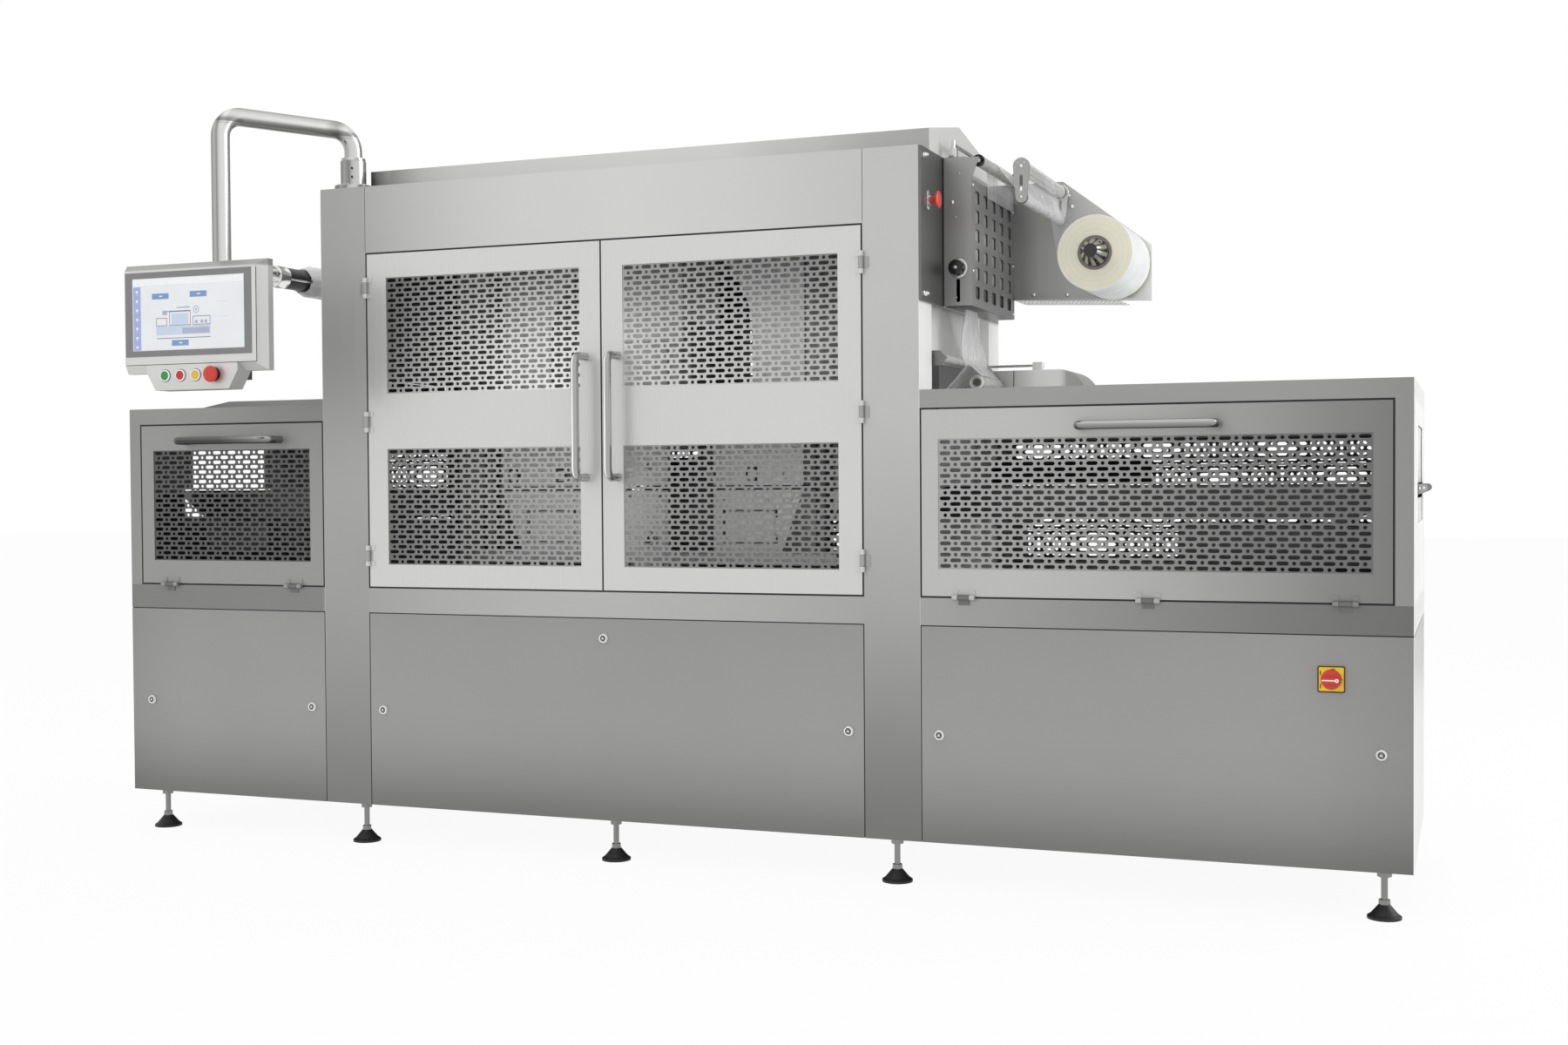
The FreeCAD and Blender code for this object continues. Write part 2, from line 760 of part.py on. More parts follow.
# feet
def make_feet():
    rim = pad_across / 2
    neck = nut_across / 2 - 1
    for x in foot_x:
        for y in (foot_inset, depth - foot_inset):
            keep("foot_pads", revolve([(0, 0), (rim, 0), (rim, pad_rim / 2), (rim - pad_rim * 0.7, pad_rim),
                                       (neck, pad_height), (0, pad_height)], (x, y, 0), (0, 0, 1)))
            stem = rod(stem_across, foot_height - pad_height, (x, y, pad_height), (0, 0, 1))
            upper = hexagon(nut_across, nut_height, (x, y, foot_height - nut_height))
            lower = hexagon(nut_across * 0.8, nut_height * 0.7, (x, y, pad_height))
            keep("foot_stems", joined([stem, upper, lower]))


# operator panel
def make_operator_panel():
    top = portal_top
    bore = arm_tube / 2 + swivel_play
    base = revolve([(bore, 0), (flange_across / 2, 0), (flange_across / 2, flange_thick),
                    (collar_across / 2, flange_thick * 1.25), (collar_across / 2, collar_height),
                    (bore, collar_height)], (pivot_x, pivot_y, top), (0, 0, 1))
    keep("arm_collar", base)

    arm = swept([(pivot_x, pivot_y, top + 1), (pivot_x, pivot_y, arm_height), (drop_x, drop_y, arm_height),
                 (drop_x, drop_y, hmi_high)], arm_bend, arm_tube, arm_bore)
    thrust = ring(collar_across - 4, arm_tube, thrust_thick, (pivot_x, pivot_y, top + collar_height + 1), (0, 0, 1))
    keep("operator_arm", [arm.fuse(thrust)])

    def rectangle(inset, y):
        x0, x1 = hmi_left + inset, hmi_right - inset
        z0, z1 = hmi_low + inset, hmi_high - inset
        return Part.makePolygon([Vec(x0, y, z0), Vec(x1, y, z0), Vec(x1, y, z1), Vec(x0, y, z1), Vec(x0, y, z0)])

    rim_y = hmi_front + hmi_bevel
    box_y = rim_y + hmi_body
    front = Part.makeLoft([rectangle(hmi_inset, hmi_front), rectangle(0, rim_y)], True, True)
    body = box(hmi_left, hmi_right, rim_y, box_y, hmi_low, hmi_high)
    t0, t1 = hmi_left + tab_left, hmi_left + tab_left + tab_wide
    step = hmi_low + hmi_inset
    tab = upright_prism([(t0, step), (t0, hmi_low), (t0 + tab_slant, hmi_low - tab_drop),
                         (t1 - tab_slant, hmi_low - tab_drop), (t1, hmi_low), (t1, step)], hmi_front, box_y)
    keep("operator_housing", joined([front, body, tab]))
    keep("operator_rear_box", box(drop_x - rear_box_half, drop_x + rear_box_half, box_y, box_y + rear_box_deep,
                                  hmi_low - rear_box_drop, hmi_high))

    mid_x = (hmi_left + hmi_right) / 2
    bezel_low = hmi_low + hmi_inset + bezel_low_edge
    bezel_high = hmi_high - hmi_inset - bezel_high_edge
    bezel = box(mid_x - bezel_wide / 2, mid_x + bezel_wide / 2, hmi_front - bezel_thick, hmi_front,
                bezel_low, bezel_high)
    zs = (bezel_low + bezel_high) / 2
    sides = (mid_x - screen_wide / 2, mid_x + screen_wide / 2)
    heights = (zs - screen_high / 2, zs + screen_high / 2)
    keep("operator_bezel", bezel.cut(box(*sides, hmi_front - 2 * bezel_thick, hmi_front + 1, *heights)))
    keep("operator_screen", box(*sides, hmi_front - bezel_thick / 2, hmi_front, *heights))
    half = button_across / 2
    reach = button_reach
    for name, x in zip(("button_start", "button_stop", "button_reset"), button_in):
        keep(name, revolve([(0, 0), (half, 0), (half, reach / 3), (half * 0.8, reach / 2), (half * 0.73, reach / 2),
                            (half * 0.7, reach * 0.92), (0, reach)], (hmi_left + x, hmi_front, button_z), (0, -1, 0)))
    keep("stop_mushroom", mushroom((hmi_left + stop_in, hmi_front, button_z), (0, -1, 0)))


def mushroom(base, along):
    """Round stop button on a short neck."""
    half = stop_across / 2
    reach = stop_reach
    return revolve([(0, 0), (half * 0.65, 0), (half * 0.65, reach * 0.4), (half * 0.87, reach * 0.53),
                    (half, reach * 0.7), (half * 0.83, reach * 0.88), (half * 0.57, reach), (0, reach)], base, along)


def make_switch():
    half = switch_plate / 2
    keep("switch_plate", box(switch_x - half, switch_x + half, -switch_thick, 0, switch_z - half, switch_z + half))
    r = switch_knob / 2
    y0 = -switch_thick - switch_play
    disc = revolve([(0, 0), (r, 0), (r, switch_reach * 0.4), (r * 0.88, switch_reach / 2), (0, switch_reach / 2)],
                   (switch_x, y0, switch_z), (0, -1, 0))
    grip = box(switch_x - r, switch_x + r, y0 - switch_reach, y0 - switch_reach / 3,
               switch_z - switch_grip / 2, switch_z + switch_grip / 2)
    grip = grip.common(rod(switch_knob, switch_reach, (switch_x, y0, switch_z), (0, -1, 0)))
    keep("switch_knob", joined([disc, grip]))


# film unit
def roller(across, x, z, y0, y1):
    """Idle roller with its thinner axle end at the front."""
    r = across / 2
    return revolve([(0, 0), (axle / 2, 0), (axle / 2, cheek), (r, cheek), (r, y1 - y0), (0, y1 - y0)],
                   (x, y0, z), (0, 1, 0))


def make_film_unit():
    x0 = portal_half + unit_wall
    side = box(portal_half, x0, 0, unit_y, unit_low, unit_high)
    shape = [(x0, unit_low), (unit_right, unit_low), (unit_right, guard_plate_high),
             (unit_right + unit_wide / 4, unit_high - 2 * skin), (x0, unit_high)]
    front = upright_prism(shape, unit_y, unit_y + skin)
    slot = upright_slot(knob_x, knob_slot, unit_low + knob_slot, knob_z - knob_across * 0.65, unit_y - 1, skin + 2)
    back = box(portal_half, x0 + skin, unit_y, unit_back, unit_low, unit_high)
    top = box(x0 + skin, unit_right - 2 * skin, unit_y + skin, unit_back, guard_plate_high - skin, guard_plate_high)
    keep("film_unit_box", [joined([side, back]), front.cut(slot), top])
    keep("side_stop", mushroom((x0, side_stop_y, portal_top - side_stop_drop), (1, 0, 0)))
    keep("film_guard_plate", pierced_plate())

    start_low = unit_low + rail_size
    outline = [(portal_half, start_low), (plate_tip_x, plate_end_low), (plate_tip_x, plate_end_high),
               (portal_half + plate_slope_in, unit_high - cheek), (portal_half, unit_high - cheek)]
    plate = upright_prism(outline, unit_back, unit_back + cheek)
    lip_x = unit_right + 2 * skin
    rise = (plate_tip_x - lip_x) * (start_low - plate_end_low) / plate_reach
    lip = upright_prism([(lip_x, plate_end_low + rise), (plate_tip_x, plate_end_low),
                         (plate_tip_x, plate_end_low + cheek), (lip_x, plate_end_low + rise + cheek)],
                        unit_back - lip_wide, unit_back)
    keep("web_plates", [plate, lip])

    keep("guide_rollers", roller(top_roller, top_roller_x, top_roller_z, unit_y + skin, unit_back))
    d = lead_half
    near = upright_prism([(wall_x, lead_z - d), (lead_x, lead_z - d), (lead_x + d, lead_z), (lead_x, lead_z + d),
                          (wall_x, lead_z + d)], lead_front, lead_front + bracket)
    far = upright_prism([(wall_x, tunnel_high), (lead_x - d, lead_z - d), (nip_x - d, nip_z - d), (nip_x, nip_z - d),
                         (nip_x + d, nip_z), (lead_x + d, lead_z), (lead_x, lead_z + d), (wall_x, lead_z + d)],
                        lead_back, lead_back + bracket)
    lead = rod(lead_roller, lead_back - lead_front - bracket, (lead_x, lead_front + bracket, lead_z), (0, 1, 0))
    nip = rod(nip_roller, lead_back - nip_front, (nip_x, nip_front, nip_z), (0, 1, 0))
    keep("guide_rollers", [near, far, lead, nip])
    keep("tension_knob", star_knob())


def pierced_plate():
    """Guard plate with rows of square holes that have rounded corners."""
    plate = box(unit_right - skin, unit_right, unit_y + skin, unit_back, unit_low, guard_plate_high)
    pitch_y = (unit_back - unit_y) / (hole_columns + 0.4)
    pitch_z = (guard_plate_high - unit_low) / (hole_rows + 0.6)
    cuts = []
    for row in range(hole_rows):
        for column in range(hole_columns):
            y = unit_y + pitch_y * (column + 0.7)
            z = unit_low + pitch_z * (row + 0.75)
            hole = box(unit_right - 2 * skin, unit_right + skin, y - hole_wide / 2, y + hole_wide / 2,
                       z - hole_high / 2, z + hole_high / 2)
            edges = [e for e in hole.Edges if abs(e.Vertexes[0].X - e.Vertexes[1].X) > 1]
            cuts.append(hole.makeFillet(hole_round, edges))
    return plate.cut(Part.makeCompound(cuts))


def star_knob():
    half = knob_across / 2
    knob = revolve([(0, 0), (half * 0.82, 0), (half * 0.82, knob_reach / 5), (half, knob_reach / 3),
                    (half, knob_reach * 0.8), (half * 0.77, knob_reach), (0, knob_reach)],
                   (knob_x, unit_y, knob_z), (0, -1, 0))
    for k in range(7):
        a = 2 * math.pi * k / 7
        hollow_x = knob_x + half * 1.06 * math.cos(a)
        hollow_z = knob_z + half * 1.06 * math.sin(a)
        knob = knob.cut(rod(half / 2, knob_reach, (hollow_x, unit_y - knob_reach / 4, hollow_z), (0, -1, 0)))
    return knob


def make_film_roll():
    core = ring(core_across, core_across - 2 * core_wall, roll_width + 4, (roll_x, roll_front - 2, roll_z), (0, 1, 0))
    film = ring(roll_across, core_across, roll_width, (roll_x, roll_front, roll_z), (0, 1, 0))
    keep("film_roll", joined([film, core]))
    r = core_across / 2 - core_wall - chuck_play
    shaft = core_wall + r / 3
    end = unit_back - web_play
    start = roll_front - chuck_nose
    chuck = revolve([(0, start), (r * 0.45, start), (r * 0.53, start + 3), (r, start + chuck_nose * 0.8),
                     (r, end - chuck_nose), (shaft, end - chuck_nose * 0.65), (shaft, end), (0, end)],
                    (roll_x, 0, roll_z), (0, 1, 0))
    for k in range(8):
        a = 2 * math.pi * k / 8
        flute = rod(chuck_flute, chuck_nose, (roll_x + r * 0.87 * math.cos(a), start - 1,
                                              roll_z + r * 0.87 * math.sin(a)), (0, 1, 0))
        chuck = chuck.cut(flute)
    keep("roll_chuck", chuck)


def make_dancer():
    def link(y):
        """Drop-shaped link round both rollers, joined by its two tangents."""
        tilt = math.asin((link_big - link_small) / dancer_drop)
        c, s = math.cos(tilt), math.sin(tilt)
        low = dancer_z - dancer_drop
        rim = [(link_big * c, dancer_z - link_big * s), (link_small * c, low - link_small * s)]
        outline = [(dancer_x - d, z) for d, z in rim] + [(dancer_x + d, z) for d, z in reversed(rim)]
        ends = [rod(2 * r, link_thick, (dancer_x, y, z), (0, 1, 0))
                for r, z in ((link_big, dancer_z), (link_small, low))]
        slot = upright_slot(dancer_x, link_thick, low + link_big, dancer_z - link_big, y - 1, link_thick + 2)
        return joined([upright_prism(outline, y, y + link_thick)] + ends).cut(slot)

    back = unit_back - cheek
    front = dancer_front
    keep("dancer", [link(front - link_thick), link(back - link_thick)])
    length = back - link_thick - front
    upper = rod(dancer_upper, length, (dancer_x, front, dancer_z), (0, 1, 0))
    lower = rod(dancer_lower, length, (dancer_x, front, dancer_z - dancer_drop), (0, 1, 0))
    stub = rod(axle, cheek - web_play, (dancer_x, back, dancer_z), (0, 1, 0))
    keep("dancer", [upper, lower, stub])


def make_rewinder():
    y0, y1 = rewind_front, rewind_back
    r = rewind_tube / 2
    plate_y = y1 + link_thick
    nose_x = rewind_x - rewind_cheek_nose
    nose_z = (rewind_cheek_high - rewind_cheek_low) * 0.28
    shoulder = rewind_x + rewind_hub
    outline = [(-wall_x, rewind_cheek_low), (-wall_x, rewind_cheek_high), (shoulder, rewind_cheek_high),
               (nose_x, rewind_cheek_high - nose_z), (nose_x, rewind_cheek_low + nose_z),
               (shoulder, rewind_cheek_low)]
    keep("web_plates", upright_prism(outline, plate_y, plate_y + cheek))
    bore = rewind_tube - 2 * rewind_tube_wall
    recess = rewind_hub * 0.8
    hub = ring(rewind_tube, bore, rewind_hub, (rewind_x, y0, rewind_z), (0, 1, 0))
    disc = rod(bore, rewind_hub - recess, (rewind_x, y0 + recess, rewind_z), (0, 1, 0))
    shaft = rod(rewind_shaft, plate_y - web_play - y0 - recess, (rewind_x, y0 + recess, rewind_z), (0, 1, 0))
    end = rod(rewind_tube * 1.23, link_thick, (rewind_x, y1 - 1.5 * link_thick, rewind_z), (0, 1, 0))
    bars = []
    length = y1 - 1.5 * link_thick - y0 - recess
    offset = r - rewind_bar / 2 - rewind_bar_set
    for k in range(6):
        a = math.radians(60 * k + 8)
        base = (rewind_x + offset * math.cos(a), y0 + recess, rewind_z + offset * math.sin(a))
        bars.append(rod(rewind_bar, length, base, (0, 1, 0)))
    keep("rewind_mandrel", joined([hub, disc, shaft, end] + bars))
    keep("waste_film", ring(waste_across, rewind_tube - 2 * rewind_bar_set, waste_wide,
                            (rewind_x, y1 - 2 * link_thick - waste_wide, rewind_z), (0, 1, 0)))


# conveyors
def belt_outline(tip, inner, run, inset, y):
    """Face of a conveyor seen from the side: round nose, slanted underside, round inner end."""
    side = 1 if tip > inner else -1
    r = nose_round - inset
    cx, cz = tip - side * nose_round, belt_high - nose_round
    low = belt_low + inset
    half = (belt_high - belt_low) / 2
    turn_x, turn_z = inner + side * half, belt_low + half
    touch = math.atan2(low - cz, -run) + math.acos(r / math.hypot(run, low - cz))

    def on_nose(a):
        return Vec(cx + side * r * math.cos(a), y, cz + r * math.sin(a))

    def line(a, b):
        return Part.LineSegment(a, b).toShape()

    corner = Vec(cx - side * run, y, low)
    top = Vec(turn_x, y, turn_z + half - inset)
    bottom = Vec(turn_x, y, turn_z - half + inset)
    back = Vec(turn_x - side * (half - inset), y, turn_z)
    start, end = on_nose(math.pi / 2), on_nose(touch)
    edges = [line(top, start), Part.Arc(start, on_nose((math.pi / 2 + touch) / 2), end).toShape(),
             line(end, corner), line(corner, bottom), Part.Arc(bottom, back, top).toShape()]
    return Part.Face(Part.Wire(edges))


def make_conveyor(tip, inner, run):
    """Belt, two side plates, rollers, legs and cross ties of one conveyor."""
    y0 = belt_middle - belt_wide / 2
    side = 1 if tip > inner else -1
    across = Vec(0, belt_wide, 0)
    belt = belt_outline(tip, inner, run, 1.0, y0).extrude(across)
    keep("belts", belt.cut(belt_outline(tip, inner, run, 1.0 + belt_thick, y0).extrude(across)))
    parts = []
    for y in (belt_middle - conveyor_half, belt_middle + conveyor_half - side_plate):
        parts.append(belt_outline(tip, inner, run, 0.0, y).extrude(Vec(0, side_plate, 0)))
    half = leg_size / 2
    plate_in = conveyor_half - side_plate
    tie_top = band_top - leg_drop
    for x in (inner + side * leg_in, tip - side * (leg_in + nose_reach)):
        parts.append(hollow(x - half, x + half, belt_middle - half, belt_middle + half, tie_top,
                            belt_low - half, skin, "z"))
        parts.append(box(x - half, x + half, belt_middle - conveyor_half, belt_middle + conveyor_half,
                         belt_low - half, belt_low))
        parts.append(box(x - half, x + half, band_depth, depth - band_depth, tie_top - cheek, tie_top))
    for x in (inner + side * (nose_round + leg_size), (inner + tip) / 2, tip - side * (run + leg_size)):
        base = (x, belt_middle - plate_in, (belt_low + belt_high) / 2)
        parts.append(rod(leg_size, 2 * plate_in, base, (0, 1, 0)))
    slide_top = belt_high - 1.0 - belt_thick
    ends = sorted((inner + side * (belt_high - belt_low), tip - side * (run + nose_reach)))
    parts.append(box(ends[0], ends[1], belt_middle - plate_in, belt_middle + plate_in, slide_top - slider, slide_top))
    keep("conveyor_beds", parts)


def make_conveyors():
    inner = portal_half - belt_end_in
    make_conveyor(x_low, -inner, nose_run_outlet)
    make_conveyor(x_high, inner, nose_run_inlet)
    half = leg_size / 2
    leg_x = x_high - leg_in - nose_reach
    x1 = right_end - post_right - skin
    top = belt_low - half
    drive = box(x1 - drive_length, x1, belt_middle - drive_half, belt_middle + drive_half, top - drive_high, top)
    leg_room = box(leg_x - half, leg_x + half, belt_middle - half, belt_middle + half, top - drive_high, top)
    keep("conveyor_beds", drive.cut(leg_room))


# press and tools
def make_press():
    floor_low = floor_top - press_floor
    floor = box(-column_in, column_in, press_front, depth - press_front, floor_low, floor_top)
    bearers = [box(-column_in, column_in, y, y + 2 * leg_size, panel_top, floor_low)
               for y in (band_depth, depth - band_depth - 2 * leg_size)]
    posts = [rod(guide_across, tool_high - floor_top, (x, y, floor_top), (0, 0, 1))
             for x in (-guide_x, guide_x) for y in (tool_front + guide_edge, tool_back - guide_edge)]
    carrier = box(-carrier_half, carrier_half, tool_front, tool_back, tool_high, carrier_top)
    crown = box(-arch_out, arch_out, column_depth, back_column, crown_low, crown_low + crown_thick)
    arches = [arch(y) for y in (tool_front + arch_plate, tool_back - 2 * arch_plate)]
    inner_y = (tool_front + 2 * arch_plate, tool_back - 2 * arch_plate)
    housing = box(-housing_half, housing_half, *inner_y, housing_low, crown_low)
    flange = box(-flange_half, flange_half, *inner_y, flange_low, housing_low)
    stem = rod(ram_across, flange_low - carrier_top, (0, belt_middle, carrier_top), (0, 0, 1))
    keep("press_frame", [floor] + bearers + posts + [carrier, crown, housing, flange, stem])
    keep("press_arches", arches)
    y0 = tool_front - centre_plate
    foot = box(-centre_half, centre_half, y0, tool_front + arch_plate, floor_top, floor_top + cheek)
    lower = box(-centre_half, centre_half, y0, tool_front, floor_top, lower_top)
    boss = rod(boss_across, cheek, (0, y0 - cheek, boss_z), (0, 1, 0))
    upper = box(-centre_half, centre_half, y0, tool_front, upper_low, centre_high)
    keep("press_frame", [joined([foot, lower, boss]), upper])


def arch(y):
    """Press plate with a round arch cut through it."""
    plate = box(-arch_out, arch_out, y, y + arch_plate, carrier_top, crown_low)
    opening = box(-arch_in, arch_in, y - 1, y + arch_plate + 1, carrier_top + 2 * leg_size, arch_spring)
    round_top = rod(2 * arch_in, arch_plate + 2, (0, y - 1, arch_spring), (0, 1, 0))
    return plate.cut(opening.fuse(round_top))


def lower_tool():
    """Block with a slanted outer side, a tray pocket and a shadow groove round its front plate."""
    block = upright_prism([(tool_in, lower_top), (tool_in, tool_low), (tool_out - tool_slant, tool_low),
                           (tool_out, lower_top)], tool_front, tool_back)
    edge = pocket_edge
    pocket = box(tool_in + edge, tool_out - edge - tool_slant * pocket_deep / (lower_top - tool_low),
                 tool_front + edge, tool_back - edge, lower_top - pocket_deep, lower_top + 1)
    half_x, half_z = groove_plate_wide / 2, groove_plate_high / 2
    x = arch_in - cheek
    outer = box(x - half_x, x + half_x, tool_front - 1, tool_front + groove, groove_plate_z - half_z,
                groove_plate_z + half_z)
    inner = box(x - half_x + groove, x + half_x - groove, tool_front - 1, tool_front + groove,
                groove_plate_z - half_z + groove, groove_plate_z + half_z - groove)
    return block.cut(pocket).cut(outer.cut(inner))


def upper_tool():
    block = box(tool_in, tool_out, tool_front, tool_back, upper_low, tool_high)
    for x in (tool_in + port_edge + port / 2, tool_out - port_edge - port / 2):
        block = block.cut(box(x - port / 2, x + port / 2, tool_front - 1, tool_front + port_deep,
                              port_z - port / 2, port_z + port / 2))
    return block


def make_tools():
    keep("sealing_tools", both_sides([lower_tool(), upper_tool()]))
    lift_low = tool_low - lift_thick
    lift = box(-carrier_half, carrier_half, tool_front, tool_back, lift_low, tool_low)
    for x in (-guide_x, guide_x):
        for y in (tool_front + guide_edge, tool_back - guide_edge):
            lift = lift.cut(rod(guide_across + 2 * guide_play, lift_thick + 2, (x, y, lift_low - 1), (0, 0, 1)))
    ram = rod(ram_across, lift_low - floor_top, (0, belt_middle, floor_top), (0, 0, 1))
    keep("sealing_tools", [lift, ram])


make_frame()
make_hood()
make_portal_sides()
make_panels()
make_sections()
make_leaves()
make_feet()
make_operator_panel()
make_switch()
make_film_unit()
make_film_roll()
make_dancer()
make_rewinder()
make_conveyors()
make_press()
make_tools()

for name, solids in nodes.items():
    whole = Part.makeCompound(solids) if len(solids) > 1 else solids[0]
    whole = whole.copy()
    whole.translate(shift)
    whole.exportStep("parts/" + name + ".step")
print(len(nodes), "nodes, moved by", shift)
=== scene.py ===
import bpy
import bmesh
import math
from mathutils import Matrix, Vector


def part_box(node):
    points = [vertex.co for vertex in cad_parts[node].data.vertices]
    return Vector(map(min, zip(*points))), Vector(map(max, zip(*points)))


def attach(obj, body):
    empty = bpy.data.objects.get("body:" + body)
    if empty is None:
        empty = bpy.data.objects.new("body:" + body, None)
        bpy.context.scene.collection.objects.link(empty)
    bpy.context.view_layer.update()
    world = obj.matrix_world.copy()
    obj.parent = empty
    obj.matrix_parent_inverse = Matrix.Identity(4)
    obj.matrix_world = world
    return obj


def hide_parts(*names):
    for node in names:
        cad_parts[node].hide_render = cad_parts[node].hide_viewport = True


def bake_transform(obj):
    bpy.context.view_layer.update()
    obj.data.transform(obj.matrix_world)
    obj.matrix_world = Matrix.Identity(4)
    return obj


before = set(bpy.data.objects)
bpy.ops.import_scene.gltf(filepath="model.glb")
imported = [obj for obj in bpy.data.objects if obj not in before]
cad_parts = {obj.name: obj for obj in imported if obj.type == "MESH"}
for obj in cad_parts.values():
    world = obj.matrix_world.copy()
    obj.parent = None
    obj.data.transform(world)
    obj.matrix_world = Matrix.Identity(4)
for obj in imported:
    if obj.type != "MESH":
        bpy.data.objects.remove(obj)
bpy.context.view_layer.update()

# Places are written in millimetres, as taken off the machine: x from the seam of the big doors,
# y from the front skin, z from the floor. at() turns them into the frame's metres.
columnsLow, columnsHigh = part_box("portal_columns")
seamX, skinY = (columnsLow[0] + columnsHigh[0]) / 2, columnsLow[1]


def at(x, y, z):
    return Vector((seamX + x / 1000, skinY + y / 1000, z / 1000))


def nodeBox(name):  # lowest and highest corner of a CAD node, in the machine's millimetres
    return [((p[0] - seamX) * 1000, (p[1] - skinY) * 1000, p[2] * 1000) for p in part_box(name)]


def newObject(name, data):
    made = bpy.data.objects.new(name, data)
    bpy.context.scene.collection.objects.link(made)
    return made


# camera: solved from the straight edges of the photographed machine
cameraSet = {"place": (2293.5, -4544.2, 1068.1), "yaw": 21.03367, "pitch": -1.26179, "roll": -0.3717944,
             "lens": 41.42, "sensor": 36.0}


def addCamera(c):
    data = bpy.data.cameras.new("camera")
    data.lens, data.sensor_width, data.sensor_fit = c["lens"], c["sensor"], "HORIZONTAL"
    data.clip_start, data.clip_end = 0.05, 80
    camera = newObject("camera", data)
    turns = [Matrix.Rotation(math.radians(angle), 4, axis)
             for angle, axis in ((c["yaw"], "Z"), (90 + c["pitch"], "X"), (c["roll"], "Z"))]
    camera.matrix_world = Matrix.Translation(at(*c["place"])) @ (turns[0] @ turns[1] @ turns[2])
    bpy.context.scene.camera = camera


# small steps that the studio and the finishes share
def mathNode(nodes, links, operation, *values, clamp=False):
    step = nodes.new("ShaderNodeMath")
    step.operation, step.use_clamp = operation, clamp
    for entry, value in zip(step.inputs, values):
        if isinstance(value, float):
            entry.default_value = value
        else:
            links.new(value, entry)
    return step.outputs[0]


def newFinish(name):
    finish = bpy.data.materials.new(name)
    finish.use_nodes = True
    tree = finish.node_tree
    return finish, tree.nodes, tree.links, tree.nodes["Principled BSDF"]


# studio: pale floor, white world, large soft lamps and a card for the shine of round parts
studio = {"worldLight": 0.78, "floorSize": 60.0, "floorColour": (0.86, 0.86, 0.86, 1), "floorRough": 0.9,
          "floorWhite": 0.94,                             # share of plain white in what the camera sees of the floor
          "card": {"place": (1.0, 5.4, 2.3), "wide": 18.0, "high": 5.0, "level": 0.34},
          "lamps": [  # name, place, aim, size, watts, seen in shine
              ("keyLamp", (-3.4, -5.6, 4.6), (0, 0, 1.1), 5.0, 85, False),
              ("sideLamp", (6.2, 2.4, 3.0), (0.6, 0.2, 1.2), 4.0, 140, True),
              ("topLamp", (0, -0.4, 6.2), (0, 0, 1.0), 4.5, 60, False)]}


def seenBy(nodes, links, *rays):  # 1 for the rays that are named, else 0
    path = nodes.new("ShaderNodeLightPath")
    total = path.outputs[rays[0]]
    for ray in rays[1:]:
        total = mathNode(nodes, links, "ADD", total, path.outputs[ray], clamp=True)
    return total


def newSheet(name, corners, paint):
    data = bpy.data.meshes.new(name)
    data.from_pydata(corners, [], [(0, 1, 2, 3)])
    data.materials.append(paint)
    return newObject(name, data)


def addWorld(s):
    world = bpy.data.worlds.new("studioWorld")
    bpy.context.scene.world = world
    world.use_nodes = True
    nodes, links = world.node_tree.nodes, world.node_tree.links
    nodes.clear()
    mix, out = nodes.new("ShaderNodeMixShader"), nodes.new("ShaderNodeOutputWorld")
    for entry, strength in ((1, s["worldLight"]), (2, 1.0)):   # the light on the machine, then the white backdrop
        shade = nodes.new("ShaderNodeBackground")
        shade.inputs["Color"].default_value, shade.inputs["Strength"].default_value = (1, 1, 1, 1), strength
        links.new(shade.outputs[0], mix.inputs[entry])
    links.new(seenBy(nodes, links, "Is Camera Ray", "Is Glossy Ray", "Is Transmission Ray"), mix.inputs["Fac"])
    links.new(mix.outputs[0], out.inputs["Surface"])


def addFloor(s):
    paint, nodes, links, shader = newFinish("floorPaint")
    shader.inputs["Base Color"].default_value = s["floorColour"]
    shader.inputs["Roughness"].default_value = s["floorRough"]
    white, mix = nodes.new("ShaderNodeEmission"), nodes.new("ShaderNodeMixShader")
    white.inputs["Color"].default_value, white.inputs["Strength"].default_value = (1, 1, 1, 1), 1.0
    seen = seenBy(nodes, links, "Is Camera Ray", "Is Glossy Ray")
    links.new(mathNode(nodes, links, "MULTIPLY", seen, s["floorWhite"]), mix.inputs["Fac"])
    links.new(shader.outputs[0], mix.inputs[1])
    links.new(white.outputs[0], mix.inputs[2])
    links.new(mix.outputs[0], nodes["Material Output"].inputs["Surface"])
    half = s["floorSize"] / 2
    floor = newSheet("floor", [(-half, -half, 0), (half, -half, 0), (half, half, 0), (-half, half, 0)], paint)


def addLamps(s):
    for name, place, aim, size, watts, shines in s["lamps"]:
        lamp = bpy.data.lights.new(name, "AREA")
        lamp.shape, lamp.size, lamp.energy = "DISK", size, watts
        holder = newObject(name, lamp)
        holder.location = place
        holder.rotation_mode = "QUATERNION"
        holder.rotation_quaternion = (Vector(aim) - Vector(place)).to_track_quat("-Z", "Y")
        holder.visible_glossy = shines                    # the others light, but leave no shine on flat sheets


def addCard(c):  # grey card behind, seen only in the shine of round parts
    (x, y, z), half, rise = c["place"], c["wide"] / 2, c["high"] / 2
    paint, nodes, links, shader = newFinish("cardPaint")
    shader.inputs["Base Color"].default_value = (0, 0, 0, 1)
    shader.inputs["Emission Color"].default_value = (1, 1, 1, 1)
    shader.inputs["Emission Strength"].default_value = c["level"]
    shader.inputs["Specular IOR Level"].default_value = 0.0
    board = newSheet("studioCard", [(x - half, y, z - rise), (x + half, y, z - rise), (x + half, y, z + rise),
                                    (x - half, y, z + rise)], paint)
    board.visible_camera = board.visible_diffuse = board.visible_transmission = board.visible_shadow = False


addCamera(cameraSet)
addWorld(studio)
addFloor(studio)
addLamps(studio)
addCard(studio["card"])
bpy.context.scene.view_settings.view_transform = "Standard"
print("stage: camera, floor, world and lamps")


